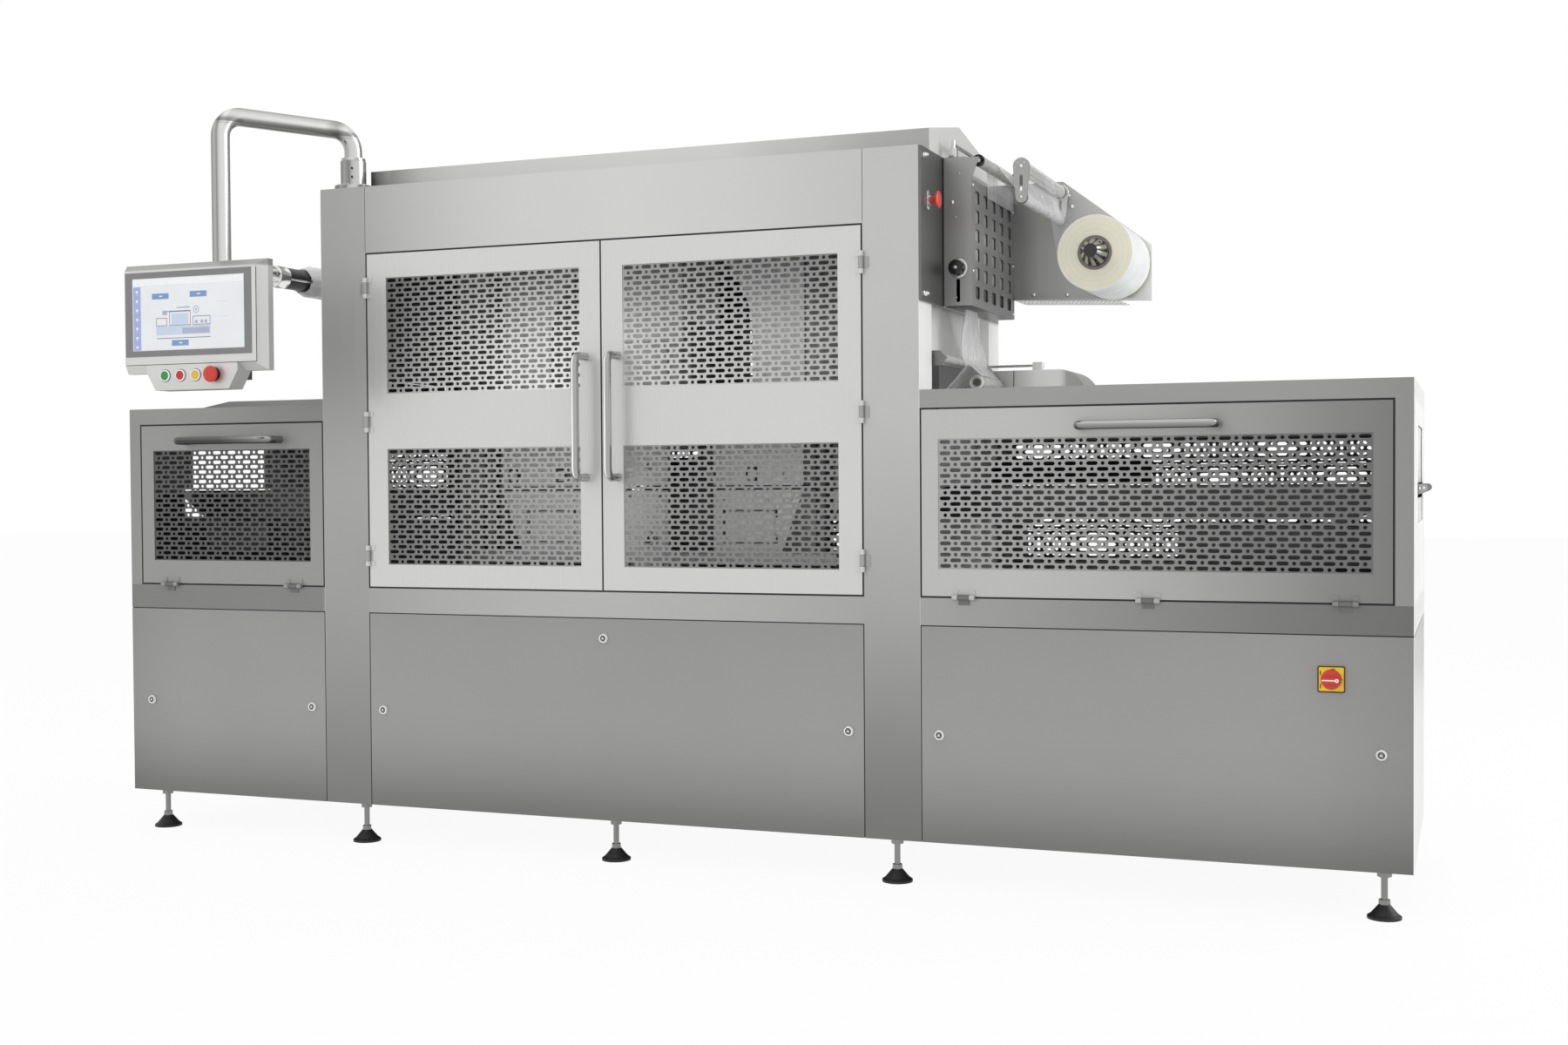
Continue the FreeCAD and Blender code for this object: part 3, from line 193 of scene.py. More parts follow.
# materials
def socket(shader, **values):
    names = {"metal": "Metallic", "ior": "IOR", "glow": "Emission Strength"}
    for key, value in values.items():
        shader.inputs[names[key]].default_value = value


def grain(nodes, links, stretch, scale, detail=4.0, rough=0.55):
    place, mapping, noise = (nodes.new("ShaderNodeTexCoord"), nodes.new("ShaderNodeMapping"),
                             nodes.new("ShaderNodeTexNoise"))
    mapping.inputs["Scale"].default_value = stretch
    noise.inputs["Scale"].default_value, noise.inputs["Detail"].default_value = scale, detail
    noise.inputs["Roughness"].default_value = rough
    links.new(place.outputs["Object"], mapping.inputs["Vector"])
    links.new(mapping.outputs["Vector"], noise.inputs["Vector"])
    return noise.outputs["Fac"]


def ramp(nodes, links, source, stops):
    band = nodes.new("ShaderNodeValToRGB")
    while len(band.color_ramp.elements) < len(stops):
        band.color_ramp.elements.new(0.5)
    for element, (place, colour) in zip(band.color_ramp.elements, stops):
        element.position = place
        element.color = (*colour, 1)
    links.new(source, band.inputs["Fac"])
    return band.outputs["Color"]


def span(nodes, links, source, low, high, fromLow=0.3, fromHigh=0.7):
    spread = nodes.new("ShaderNodeMapRange")
    for key, value in (("From Min", fromLow), ("From Max", fromHigh), ("To Min", low), ("To Max", high)):
        spread.inputs[key].default_value = value
    links.new(source, spread.inputs["Value"])
    return spread.outputs["Result"]


def bump(nodes, links, shader, source, height, strength=1.0):
    lift = nodes.new("ShaderNodeBump")
    lift.inputs["Strength"].default_value, lift.inputs["Distance"].default_value = strength, height
    links.new(source, lift.inputs["Height"])
    links.new(lift.outputs["Normal"], shader.inputs["Normal"])


def shaded(colour, share):
    return tuple(min(1.0, c * share) for c in colour)


def axisPlace(axis, place):  # a machine place on one axis, in the frame's metres
    return at(place, place, place)["XYZ".index(axis)]


def alongAxis(nodes, links, axis, low, high):  # 0 to 1 between two places of one axis, in the frame's metres
    where, split = nodes.new("ShaderNodeTexCoord"), nodes.new("ShaderNodeSeparateXYZ")
    links.new(where.outputs["Object"], split.inputs[0])
    return span(nodes, links, split.outputs[axis], 0, 1, low, high)


def mixed(nodes, links, share, first, second, kind="MIX"):
    mix = nodes.new("ShaderNodeMix")
    mix.data_type, mix.blend_type = "RGBA", kind
    if isinstance(share, float):
        mix.inputs["Factor"].default_value = share
    else:
        links.new(share, mix.inputs["Factor"])
    links.new(first, mix.inputs[6])
    links.new(second, mix.inputs[7])
    return mix.outputs[2]


def faded(nodes, links, tone, axis, stops):
    # multiplies a colour by shares that change along one axis; places are in machine millimetres
    places = [axisPlace(axis, stop[0]) for stop in stops]
    low, high = places[0], places[-1]
    shade = ramp(nodes, links, alongAxis(nodes, links, axis, low, high),
                 [((place - low) / (high - low), (stop[1],) * 3) for place, stop in zip(places, stops)])
    return mixed(nodes, links, 1.0, tone, shade, "MULTIPLY")


def parted(nodes, links, tone, axis, place, alongLow, alongHigh, blend=0.01):
    # two sets of shares along Z, one on each side of a place on the other axis
    low = faded(nodes, links, tone, "Z", alongLow)
    high = faded(nodes, links, tone, "Z", alongHigh)
    edge = axisPlace(axis, place)
    return mixed(nodes, links, alongAxis(nodes, links, axis, edge - blend, edge + blend), low, high)


brushes = {"across": (0.5, 0.5, 90), "upright": (90, 90, 0.5), "even": (12, 12, 12)}


def satinSteel(colour, rough=0.34, brush="across", spread=0.08, metal=1.0, fades=(), relief=0.35):
    # brushed sheet: fine lines, slow clouds, and where asked a change of tone along an axis, which mostly paints
    # light and shade
    finish, nodes, links, shader = newFinish("satinSteel")
    socket(shader, metal=metal)
    colour = shaded(colour, 1.07)                         # what a rough metal loses at its own grain
    lines = grain(nodes, links, brushes[brush], 3.0, 5.0, 0.6)
    clouds = grain(nodes, links, (1, 1, 1), 2.2, 2.0, 0.5)
    slow = mathNode(nodes, links, "MULTIPLY", clouds, 0.65)
    both = mathNode(nodes, links, "MULTIPLY_ADD", lines, 0.35, slow)
    tone = ramp(nodes, links, both,
                [(0.3, shaded(colour, 1 - spread)), (0.5, colour), (0.7, shaded(colour, 1 + spread))])
    for axis, *stops in fades:
        tone = (faded if len(stops) == 1 else parted)(nodes, links, tone, axis, *stops)
    links.new(tone, shader.inputs["Base Color"])
    links.new(span(nodes, links, lines, rough - 0.14 * relief, rough + 0.17 * relief), shader.inputs["Roughness"])
    bump(nodes, links, shader, lines, 0.00008, relief)
    return finish


def moulded(colour, rough=0.45, spread=0.1, grainSize=600.0, height=0.00008, **more):
    # plastic, rubber, film or paint with a fine skin and small changes of tone
    finish, nodes, links, shader = newFinish("moulded")
    socket(shader, **more)
    fine = grain(nodes, links, (1, 1, 1), grainSize, 3.0)
    slow = grain(nodes, links, (1, 1, 1), 14.0, 2.0)
    links.new(ramp(nodes, links, slow, [(0.3, shaded(colour, 1 - spread)), (0.7, shaded(colour, 1 + spread))]),
              shader.inputs["Base Color"])
    links.new(span(nodes, links, slow, rough - 0.05, rough + 0.05), shader.inputs["Roughness"])
    bump(nodes, links, shader, fine, height, 0.6)
    return finish


def grey(level):
    return (level, level, level * 0.985)


def warmFilm(colour, alpha, rough=0.2):
    # thin clear film: mostly see-through, with a milky share that changes slowly
    finish = moulded(colour, rough, 0.04, 40.0, 0.0006, ior=1.35)
    nodes, links = finish.node_tree.nodes, finish.node_tree.links
    links.new(span(nodes, links, grain(nodes, links, (1, 1, 0.3), 9.0, 3.0), alpha * 0.6, alpha * 1.4),
              nodes["Principled BSDF"].inputs["Alpha"])
    return finish


tubePaintedShine = {  # painted shine and shade across a bright tube, in place of its reflections: an upright one, a level one, or a door handle
    "upright": ((-0.5, 0.35), (-0.41, 0.35), (-0.20, 0.42), (-0.12, 0.70), (0.02, 0.72), (0.08, 0.48), (0.13, 0.52),
                (0.20, 0.92), (0.29, 1.15), (0.45, 1.2), (0.5, 1.0)),
    "level": ((-0.5, 0.45), (-0.44, 1.0), (-0.40, 0.95), (-0.36, 0.45), (-0.20, 0.50), (-0.08, 1.0), (0.06, 1.2),
              (0.20, 1.1), (0.33, 0.9), (0.40, 0.6), (0.46, 0.38), (0.5, 0.3)),
    "handle": ((-0.5, 0.30), (-0.41, 0.38), (-0.34, 0.50), (-0.24, 1.30), (-0.08, 1.30), (0.0, 0.58), (0.20, 0.48),
               (0.34, 0.55), (0.40, 0.32), (0.44, 0.85), (0.49, 0.70), (0.5, 0.40))}


def paintedShineAcross(middle, across, kind="upright"):
    return [(middle + across * place, share) for place, share in tubePaintedShine[kind]]


def inletFacePaintedLight(share):  # painted light: the end face of the inlet section made lighter, as the side lamp would light it
    return "X", [(2152.2, 1), (2152.6, share)]


# finishes; in fades the pairs are a machine place and the share of the tone there, most of them painted light and
# shade
# painted light and shade along the front band: lightest in the middle, darker towards the ends
bandLightAndShade = [(-1650, 0.46), (-933, 0.50), (-927, 0.78), (-740, 0.80), (-575, 0.88), (-410, 0.93), (-245, 0.99),
             (85, 1.0), (415, 0.94), (745, 0.845), (960, 0.78), (1240, 0.675), (1520, 0.553), (1800, 0.43)]
# painted light and shade along the guards: lightest just right of the portal, darker towards the ends
guardLightAndShade = [(-1602, 0.97), (-933, 0.99), (933, 1.60), (1180, 1.60), (1400, 1.48), (1510, 1.39), (1620, 1.25),
              (1840, 0.94), (1950, 0.79), (2105, 0.64)]
sheetMetal = 0.4                                          # share of mirror-like shine in the flat sheets
# painted shade on the two columns, darker towards the floor
leftColumnShade = [(120, 0.38), (200, 0.42), (375, 0.52), (550, 0.59), (725, 0.65), (1075, 0.74), (1425, 0.78),
              (1950, 0.78)]
rightColumnShade = [(120, 0.34), (200, 0.37), (375, 0.48), (550, 0.60), (725, 0.72), (900, 0.81), (1075, 0.89),
               (1250, 0.97), (1600, 1.0), (1950, 1.0)]
finishes = {
    "doorSkin": satinSteel(grey(0.600), 0.27, "upright", 0.015, metal=sheetMetal, relief=0.03),
    # painted light and shade: lighter in the middle of the header, darker at its ends
    "headerSkin": satinSteel(grey(0.60), 0.40, "across", 0.02, metal=sheetMetal, fades=[
        ("X", [(-773, 0.69), (-575, 0.81), (-410, 0.90), (-245, 0.965), (85, 1.0), (415, 0.965), (773, 0.86)])]),
    # painted shade at the hood's left end, painted light on its two end faces
    "hoodSkin": satinSteel(grey(0.61), 0.40, "across", 0.02, metal=sheetMetal, fades=[
        ("X", [(-820, 0.12), (-800, 0.30), (-760, 0.43), (-640, 0.78), (-500, 0.90), (-220, 0.94), (60, 0.99),
               (340, 0.99), (480, 0.88), (620, 0.83), (760, 0.68), (927, 0.62)]),
        ("X", [(-819.7, 5), (-819.4, 1)]), ("X", [(927.2, 1), (927.5, 1.8)])]),
    # painted light on the end faces and on the rear step face, painted shade on the right face above the film unit
    "columnSkin": satinSteel(grey(0.51), 0.45, "upright", 0.03, metal=0.3, fades=[
        ("X", 0, leftColumnShade, rightColumnShade),
        ("X", [(-927.4, 1.7), (-927.1, 1)]), ("X", [(927.1, 1), (927.4, 1.8)]),
        ("X", 927.25, [(120, 1), (1950, 1)], [(120, 1), (1540, 1), (1548, 0.3), (1950, 0.3)], 0.0002),
        ("Y", [(722.2, 1), (722.7, 1.9)]), ("Y", [(723.2, 1), (723.6, 0.53)])]),
    "guardSkin": satinSteel(grey(0.30), 0.40, "across", 0.03, metal=sheetMetal,
                            fades=[("X", guardLightAndShade)]),
    # painted light and shade along the guards' pierced sheets
    "guardMesh": satinSteel(grey(0.17), 0.40, "across", 0.04,
                            fades=[("X", [(-933, 0.66), (933, 2.1), (1350, 1.9), (1800, 1.05), (2105, 0.9)])]),
    # painted reflections and shade in the door sheets: lighter above the lower edge of the upper windows and towards
    # the seam
    "doorMesh": satinSteel(grey(0.42), 0.40, "across", 0.04, fades=[
        ("Z", [(835, 0.66), (1175, 0.80), (1338, 1.55), (1480, 1.35), (1600, 0.95), (1678, 0.75)]),
        ("X", [(-703, 0.56), (-560, 0.78), (-300, 1.12), (-67, 1.2), (67, 1.0), (300, 0.85), (703, 0.70)])]),
    # dark tone: painted shade seen through the windows
    "rearMesh": satinSteel(grey(0.10), 0.42, "across", 0.05),
    # painted light and shade along the band, painted light on the inlet end face
    "frameSkin": satinSteel(grey(0.445), 0.40, "across", 0.03, metal=sheetMetal,
                            fades=[("X", bandLightAndShade + [(2152, 0.33)]), inletFacePaintedLight(5.8)]),
    "rearSkin": satinSteel(grey(0.34), 0.40, "across", 0.04, fades=[inletFacePaintedLight(2.4)]),
    # painted light and shade along the rails, painted light on the inlet end face
    "sectionSkin": satinSteel(grey(0.31), 0.40, "across", 0.03, metal=sheetMetal, fades=[
        ("X", [(-1671, 0.87), (-1510, 0.93), (-960, 0.89), (960, 1.0), (1660, 1.03), (1940, 0.97), (2080, 0.89),
               (2152, 0.85)]), inletFacePaintedLight(3.3)]),
    # painted light and shade along the tops, lightest between 1045 and 1175 mm
    "topSkin": satinSteel(grey(0.60), 0.36, "across", 0.03, metal=0.3, fades=[
        ("X", [(-1607, 0.30), (-1500, 0.34), (-1250, 0.48), (-1000, 0.58), (-935, 0.70), (928, 0.60), (1010, 0.75),
               (1045, 1.0), (1060, 1.1), (1100, 1.35), (1175, 1.35), (1186, 0.72), (1245, 0.6)])]),
    # painted shade on the lower panels, darker towards the floor and at the ends; painted light on the inlet end face
    "lowerSkin": satinSteel(grey(0.319), 0.40, "across", 0.03, metal=sheetMetal, fades=[
        ("X", 2152.4, [(120, 0.55), (140, 0.58), (230, 0.80), (320, 0.95), (410, 1.0), (590, 0.965), (692, 0.92)],
         [(120, 1), (692, 1)], 0.0002),
        ("X", [(-1650, 0.88), (-1560, 0.95), (-1450, 1), (1850, 1), (1940, 0.975), (2080, 0.87), (2152, 0.82)]),
        inletFacePaintedLight(3.4)]),
    # dark tone: painted shade inside the machine; painted light on the wall faces at ±902.5 mm, darker towards the
    # outlet end
    "insideSteel": satinSteel(grey(0.10), 0.45, "even", 0.06, metal=0.2, fades=[
        ("X", [(-1500, 0.68), (-1400, 1)]), ("X", [(-902.5, 4), (-902.2, 1)]), ("X", [(902.2, 1), (902.5, 8.5)])]),
    # dark tone: painted shade inside the machine; painted light on the inlet end
    "bedSteel": satinSteel(grey(0.12), 0.40, "across", 0.06, fades=[("X", [(2149, 1), (2152, 3)])]),
    "toolAlloy": satinSteel(grey(0.80), 0.40, "across", 0.04),
    "archAlloy": satinSteel(grey(0.80), 0.40, "upright", 0.04),
    # dark tone: painted shade inside the machine; 5.4 times lighter between ±100.5 mm
    "pressSteel": satinSteel(grey(0.16), 0.40, "even", 0.06,
                             fades=[("X", [(-101, 1), (-100.5, 5.4), (100.5, 5.4), (101, 1)])]),
    # painted shine and shade across the arm's tubes, its collar and the door handles
    "tubeSteel": satinSteel(grey(0.56), 0.26, "even", 0.02, relief=0.05, fades=[
        ("X", paintedShineAcross(-1048, 52) + [(-1021.5, 1), (-876.5, 1), (-869, 0.75), (-858, 0.6), (-848, 0.95),
                                       (-830, 1.15), (-824, 0.8)]),
        ("Z", [(1702, 1), (2099.5, 1)] + paintedShineAcross(2126, 52, "level"))]),
    "collarSteel": satinSteel(grey(0.46), 0.26, "even", 0.02, relief=0.05, fades=[
        ("X", [(-906, 0.4), (-892, 0.45)] + paintedShineAcross(-850, 82)[1:-1] + [(-805, 0.4)])]),
    "doorHandle": satinSteel(grey(0.74), 0.16, "even", 0.02, relief=0.1,
                             fades=[("X", paintedShineAcross(-50, 23, "handle") + paintedShineAcross(50, 23, "handle"))]),
    # painted highlight and shade on the guard handles: a bright band near the top, darker below and at the outlet end
    "guardHandle": satinSteel(grey(0.66), 0.18, "even", 0.02, fades=[
        ("X", [(-1436, 0.15), (-1250, 0.17), (-1140, 0.36), (-1080, 0.55), (1343, 0.62), (1707, 0.62)]),
        ("Z", [(1196.5, 0.30), (1199, 0.42), (1203, 0.55), (1208, 0.72), (1213, 1.15), (1217, 1.05),
               (1219.5, 0.6)])]),
    "chrome": satinSteel(grey(0.78), 0.14, "even", 0.02),
    "turnedSteel": satinSteel(grey(0.58), 0.24, "even", 0.04),
    "chuckSteel": satinSteel(grey(0.36), 0.22, "even", 0.04),
    "hingeSteel": satinSteel(grey(0.36), 0.34, "even", 0.06, metal=0.6,
                             fades=[("Z", [(746, 0.42), (790, 0.42), (830, 1.0), (1665, 1.0)])]),
    "rollerSkin": satinSteel(grey(0.56), 0.28, "even", 0.04, metal=0.35,
                             fades=[("Y", [(132, 0.34), (136.1, 0.34), (136.3, 1.0), (685, 1.0)])]),
    "stemSteel": satinSteel(grey(0.24), 0.36, "even", 0.06),
    "linkSteel": satinSteel(grey(0.62), 0.24, "even", 0.04, metal=0.5,
                            fades=[("Y", [(187, 0.55), (195.1, 0.55), (195.3, 1.0), (670, 1.0)])]),
    # painted shade and light on the film unit's box: darker towards the back, lighter faces at 204.9 and 207.6 mm
    "boxSteel": satinSteel(grey(0.20), 0.40, "upright", 0.04, fades=[
        ("Y", [(0, 0.86), (110, 0.64), (204.4, 0.50)]), ("Y", [(204.6, 1), (204.9, 3.5)]),
        ("Y", [(207.2, 1), (207.6, 1.6)])]),
    "plateSteel": satinSteel(grey(0.34), 0.40, "upright", 0.05, metal=0.6),
    # painted shade on the cheek: darker on the left, lighter to the right
    "cheekSteel": satinSteel(grey(0.40), 0.40, "upright", 0.04, metal=0.6, fades=[
        ("X", [(928, 0.6), (1040, 0.75), (1090, 1.0), (1150, 1.0), (1300, 1.3), (1418, 1.95)])]),
    # painted shade: much darker below 1610 mm and darker towards the top
    "backingSteel": satinSteel(grey(0.46), 0.40, "even", 0.12, metal=0.3, fades=[
        ("Z", [(1560, 0.25), (1606, 0.30), (1616, 1.0), (1640, 1.1), (1800, 0.9), (1880, 0.6)])]),
    "darkSteel": satinSteel(grey(0.12), 0.34, "even", 0.06),
    "paleAlloy": satinSteel(grey(0.72), 0.42, "even", 0.04),
    # painted shade on the top bevel of the panel housing, a little darker at the bottom
    "housingSkin": satinSteel(grey(0.62), 0.36, "across", 0.02, metal=0.55,
                              fades=[("Z", [(1341, 0.94), (1400, 1), (1680, 1), (1686, 0.52), (1702, 0.52)])]),
    "panelLight": satinSteel(grey(0.63), 0.36, "across", 0.02, metal=0.55),
    "darkBox": satinSteel(grey(0.13), 0.45, "even", 0.08),
    "blackRubber": moulded((0.012, 0.012, 0.013), 0.55, 0.2),
    "blackPlastic": moulded((0.018, 0.018, 0.019), 0.4, 0.15),
    "glossBlack": moulded((0.010, 0.010, 0.011), 0.14, 0.1, 200.0, 0.00003),
    "darkBezel": moulded((0.205, 0.205, 0.21), 0.40, 0.04),
    "yellowPlate": moulded((0.86, 0.60, 0.02), 0.42, 0.05),
    "redPlastic": moulded((0.62, 0.045, 0.03), 0.34, 0.08),
    "greenCap": moulded((0.02, 0.30, 0.06), 0.3, 0.08),
    "redCap": moulded((0.58, 0.02, 0.02), 0.3, 0.08),
    "yellowCap": moulded((0.80, 0.50, 0.03), 0.3, 0.08),
    "creamCore": moulded((0.87, 0.85, 0.70), 0.55, 0.03),
    "creamDark": moulded((0.84, 0.81, 0.65), 0.55, 0.03),
    "beltSkin": moulded((0.10, 0.10, 0.105), 0.6, 0.1),
    "clearFilm": warmFilm((0.92, 0.93, 0.94), 0.07),
    "dullFilm": warmFilm((0.95, 0.95, 0.96), 0.34),
    "wornFilm": warmFilm((0.97, 0.975, 0.98), 0.5),
    # glow: painted light, so that the film roll reads bright
    "glowingFilmRoll": moulded((0.90, 0.92, 0.925), 0.22, 0.03, 40.0, 0.0003, glow=0.13),
    "coreTube": moulded((0.22, 0.20, 0.17), 0.5, 0.06),
    "wasteFilm": moulded((0.66, 0.68, 0.70), 0.25, 0.08, 60.0, 0.0006),
    "ringWhite": moulded((0.92, 0.92, 0.92), 0.3, 0.03),
    "screenGlass": moulded((0.82, 0.84, 0.87), 0.15, 0.02),
    "screenWhite": moulded((0.90, 0.91, 0.92), 0.3, 0.02),
    "menuBlue": moulded((0.36, 0.44, 0.72), 0.3, 0.03),
    "keyBlue": moulded((0.19, 0.33, 0.58), 0.3, 0.03),
    "lineGrey": moulded((0.16, 0.18, 0.24), 0.3, 0.03),
    "paleBlue": moulded((0.58, 0.66, 0.80), 0.3, 0.03),
    "lilacGrey": moulded((0.42, 0.46, 0.60), 0.3, 0.03),
}

for name, finish in finishes.items():
    finish.name = name

nodeFinish = {
    "doorSkin": ["left_door", "right_door"],
    "headerSkin": ["portal_header"],
    "hoodSkin": ["portal_hood"],
    "columnSkin": ["portal_columns"],
    "guardSkin": ["outlet_guard", "inlet_guard"],
    "guardMesh": ["outlet_guard_mesh", "inlet_guard_mesh"],
    "doorMesh": ["left_door_mesh", "right_door_mesh"],
    "rearMesh": ["rear_mesh"],
    "frameSkin": ["base_frame"],
    "rearSkin": ["rear_leaves", "rear_panels"],
    "sectionSkin": ["section_frames"],
    "topSkin": ["section_tops"],
    "lowerSkin": ["front_panels"],
    "insideSteel": ["side_walls"],
    "bedSteel": ["conveyor_beds"],
    "toolAlloy": ["sealing_tools"],
    "archAlloy": ["press_arches"],
    "pressSteel": ["press_frame"],
    "tubeSteel": ["operator_arm"],
    "collarSteel": ["arm_collar"],
    "doorHandle": ["left_door_handle", "right_door_handle"],
    "guardHandle": ["outlet_guard_handle", "inlet_guard_handle"],
    "turnedSteel": ["panel_locks", "rewind_mandrel"],
    "hingeSteel": ["hinge_barrels"],
    "rollerSkin": ["guide_rollers"],
    "linkSteel": ["dancer"],
    "stemSteel": ["foot_stems"],
    "boxSteel": ["film_unit_box"],
    "plateSteel": ["film_guard_plate"],
    "cheekSteel": ["web_plates"],
    "housingSkin": ["operator_housing"],
    "darkBox": ["operator_rear_box"],
    "blackRubber": ["foot_pads"],
    "blackPlastic": ["tension_knob", "roll_chuck"],
    "darkBezel": ["operator_bezel"],
    "yellowPlate": ["switch_plate"],
    "redPlastic": ["switch_knob", "stop_mushroom", "side_stop"],
    "greenCap": ["button_start"],
    "redCap": ["button_stop"],
    "yellowCap": ["button_reset"],
    "beltSkin": ["belts"],
    "glowingFilmRoll": ["film_roll", "waste_film"],
    "screenGlass": ["operator_screen"],
}
for finish, names in nodeFinish.items():
    for name in names:
        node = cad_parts[name]
        node.data.materials.clear()
        node.data.materials.append(finishes[finish])
left = sorted(set(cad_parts) - {n for names in nodeFinish.values() for n in names})
print("finishes:", len(finishes), "nodes without one:", left)


# building blocks for the detail pieces
def makePiece(name, verts, faces, finish, body):
    data = bpy.data.meshes.new(name)
    data.from_pydata(verts, [], faces)
    data.update()
    data.materials.append(finishes[finish])
    piece = newObject(name, data)
    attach(piece, body)
    return piece


def circlePoint(x, z, radius, angle):
    return x + radius * math.cos(angle), z + radius * math.sin(angle)


def oblong(x0, x1, z0, z1):  # corners of a rectangle in order; as a turned profile, a plain disc or ring
    return [(x0, z0), (x1, z0), (x1, z1), (x0, z1)]


# pierced sheets: rows of slots and round holes by turns, every second row shifted by half a period
piercing = {"period": 55.0, "slotCell": 37.0, "slot": 29.5, "hole": 10.0, "rowPitch": 14.7, "thick": 1.5, "lap": 12.0}


def holeLoop(x, z, kind, p, fine):  # left end, over the top, to the right end; the lower half mirrors it
    radius = p["hole"] / 2
    if kind == "hole":
        steps = 4 if fine else 3
        return [circlePoint(x, z, radius, math.pi - math.pi * k / steps) for k in range(steps + 1)]
    half, steps = (p["slot"] - p["hole"]) / 2, 2 if fine else 1
    quarter = [math.pi / 2 * k / steps for k in range(steps + 1)]
    return ([circlePoint(x - half, z, radius, math.pi - a) for a in quarter]
            + [circlePoint(x + half, z, radius, math.pi / 2 - a) for a in quarter])


def sheetCells(x0, ends, rows, p):  # each row from end to end of the sheet: start, end, and slot, hole or None
    low, high = ends
    cells = []
    for row in range(rows):
        x = x0 - (0 if (rows - 1 - row) % 2 == 0 else p["period"] / 2)
        marks, kind = [], "slot"
        while x < high:
            width = p["slotCell"] if kind == "slot" else p["period"] - p["slotCell"]
            if x >= low and x + width <= high:
                marks.append((x, x + width, kind))
            x += width
            kind = "hole" if kind == "slot" else "slot"
        cells.append([(low, marks[0][0], None)] * (marks[0][0] > low + 0.01) + marks
                     + [(marks[-1][1], high, None)] * (marks[-1][1] < high - 0.01))
    return cells


def lineCorners(cells, ends):  # x places of the corners on each line between two rows
    corners = []
    for k in range(len(cells) + 1):
        beside = [c for row in (k - 1, k) if 0 <= row < len(cells) for c in cells[row]]
        corners.append(sorted({round(x, 4) for x in (*ends, *(c[0] for c in beside), *(c[1] for c in beside))}))
    return corners


def piercedSheet(verts, faces, window, front, p, fine=True):
    # window = (x0, x1, z0, z1) of the opening that the sheet fills from behind
    x0, x1, z0, z1 = window
    sheetX0, sheetX1, sheetZ0, sheetZ1 = x0 - p["lap"], x1 + p["lap"], z0 - p["lap"], z1 + p["lap"]
    rows = int((z1 - z0) // p["rowPitch"])
    baseZ = (z0 + z1) / 2 - rows * p["rowPitch"] / 2
    lines = [baseZ + k * p["rowPitch"] for k in range(rows + 1)]
    cells = sheetCells(x0, (sheetX0, sheetX1), rows, p)
    edges = lineCorners(cells, (sheetX0, sheetX1))
    known, back = {}, front + p["thick"]

    def vertex(x, z, side):
        key = (round(x, 3), round(z, 3), side)
        if key not in known:
            known[key] = len(verts)
            verts.append(at(x, front if side == 0 else back, z))
        return known[key]

    def face(points):
        frontLoop = [vertex(x, z, 0) for x, z in points]
        backLoop = [vertex(x, z, 1) for x, z in points]
        faces.append(frontLoop)
        faces.append(backLoop[::-1])

    def wall(points):
        for (xa, za), (xb, zb) in zip(points, points[1:]):
            faces.append([vertex(xa, za, 0), vertex(xb, zb, 0), vertex(xb, zb, 1), vertex(xa, za, 1)])

    for row in range(rows):
        low, high = lines[row], lines[row + 1]
        middle = (low + high) / 2
        for xa, xb, kind in cells[row]:
            xa, xb = round(xa, 4), round(xb, 4)
            top = [(x, high) for x in edges[row + 1] if xa <= x <= xb]
            bottom = [(x, low) for x in edges[row] if xa <= x <= xb]
            if kind is None:
                sides = ([] if xa == round(sheetX0, 4) else [(xa, middle)],
                         [] if xb == round(sheetX1, 4) else [(xb, middle)])
                face(bottom + sides[1] + top[::-1] + sides[0])
                continue
            upper = holeLoop((xa + xb) / 2, middle, kind, p, fine)
            lower = [(x, 2 * middle - z) for x, z in upper]
            face([(xb, middle)] + top[::-1] + [(xa, middle)] + upper)
            face([(xa, middle)] + bottom + [(xb, middle)] + lower[::-1])
            wall(upper[::-1])
            wall(lower)
    for k, z, edgeZ in ((0, lines[0], sheetZ0), (rows, lines[-1], sheetZ1)):
        for xa, xb in zip(edges[k], edges[k][1:]):
            lowZ, highZ = min(z, edgeZ), max(z, edgeZ)
            face(oblong(xa, xb, lowZ, highZ))
    # outer edge of the sheet, walked once round
    loop = ([(x, sheetZ0) for x in edges[0]] + [(round(sheetX1, 4), z) for z in lines]
            + [(x, sheetZ1) for x in edges[-1][::-1]] + [(round(sheetX0, 4), z) for z in lines[::-1]])
    loop = [q for q, r in zip(loop, loop[1:] + loop[:1]) if q != r]
    wall((loop + loop[:1])[::-1])


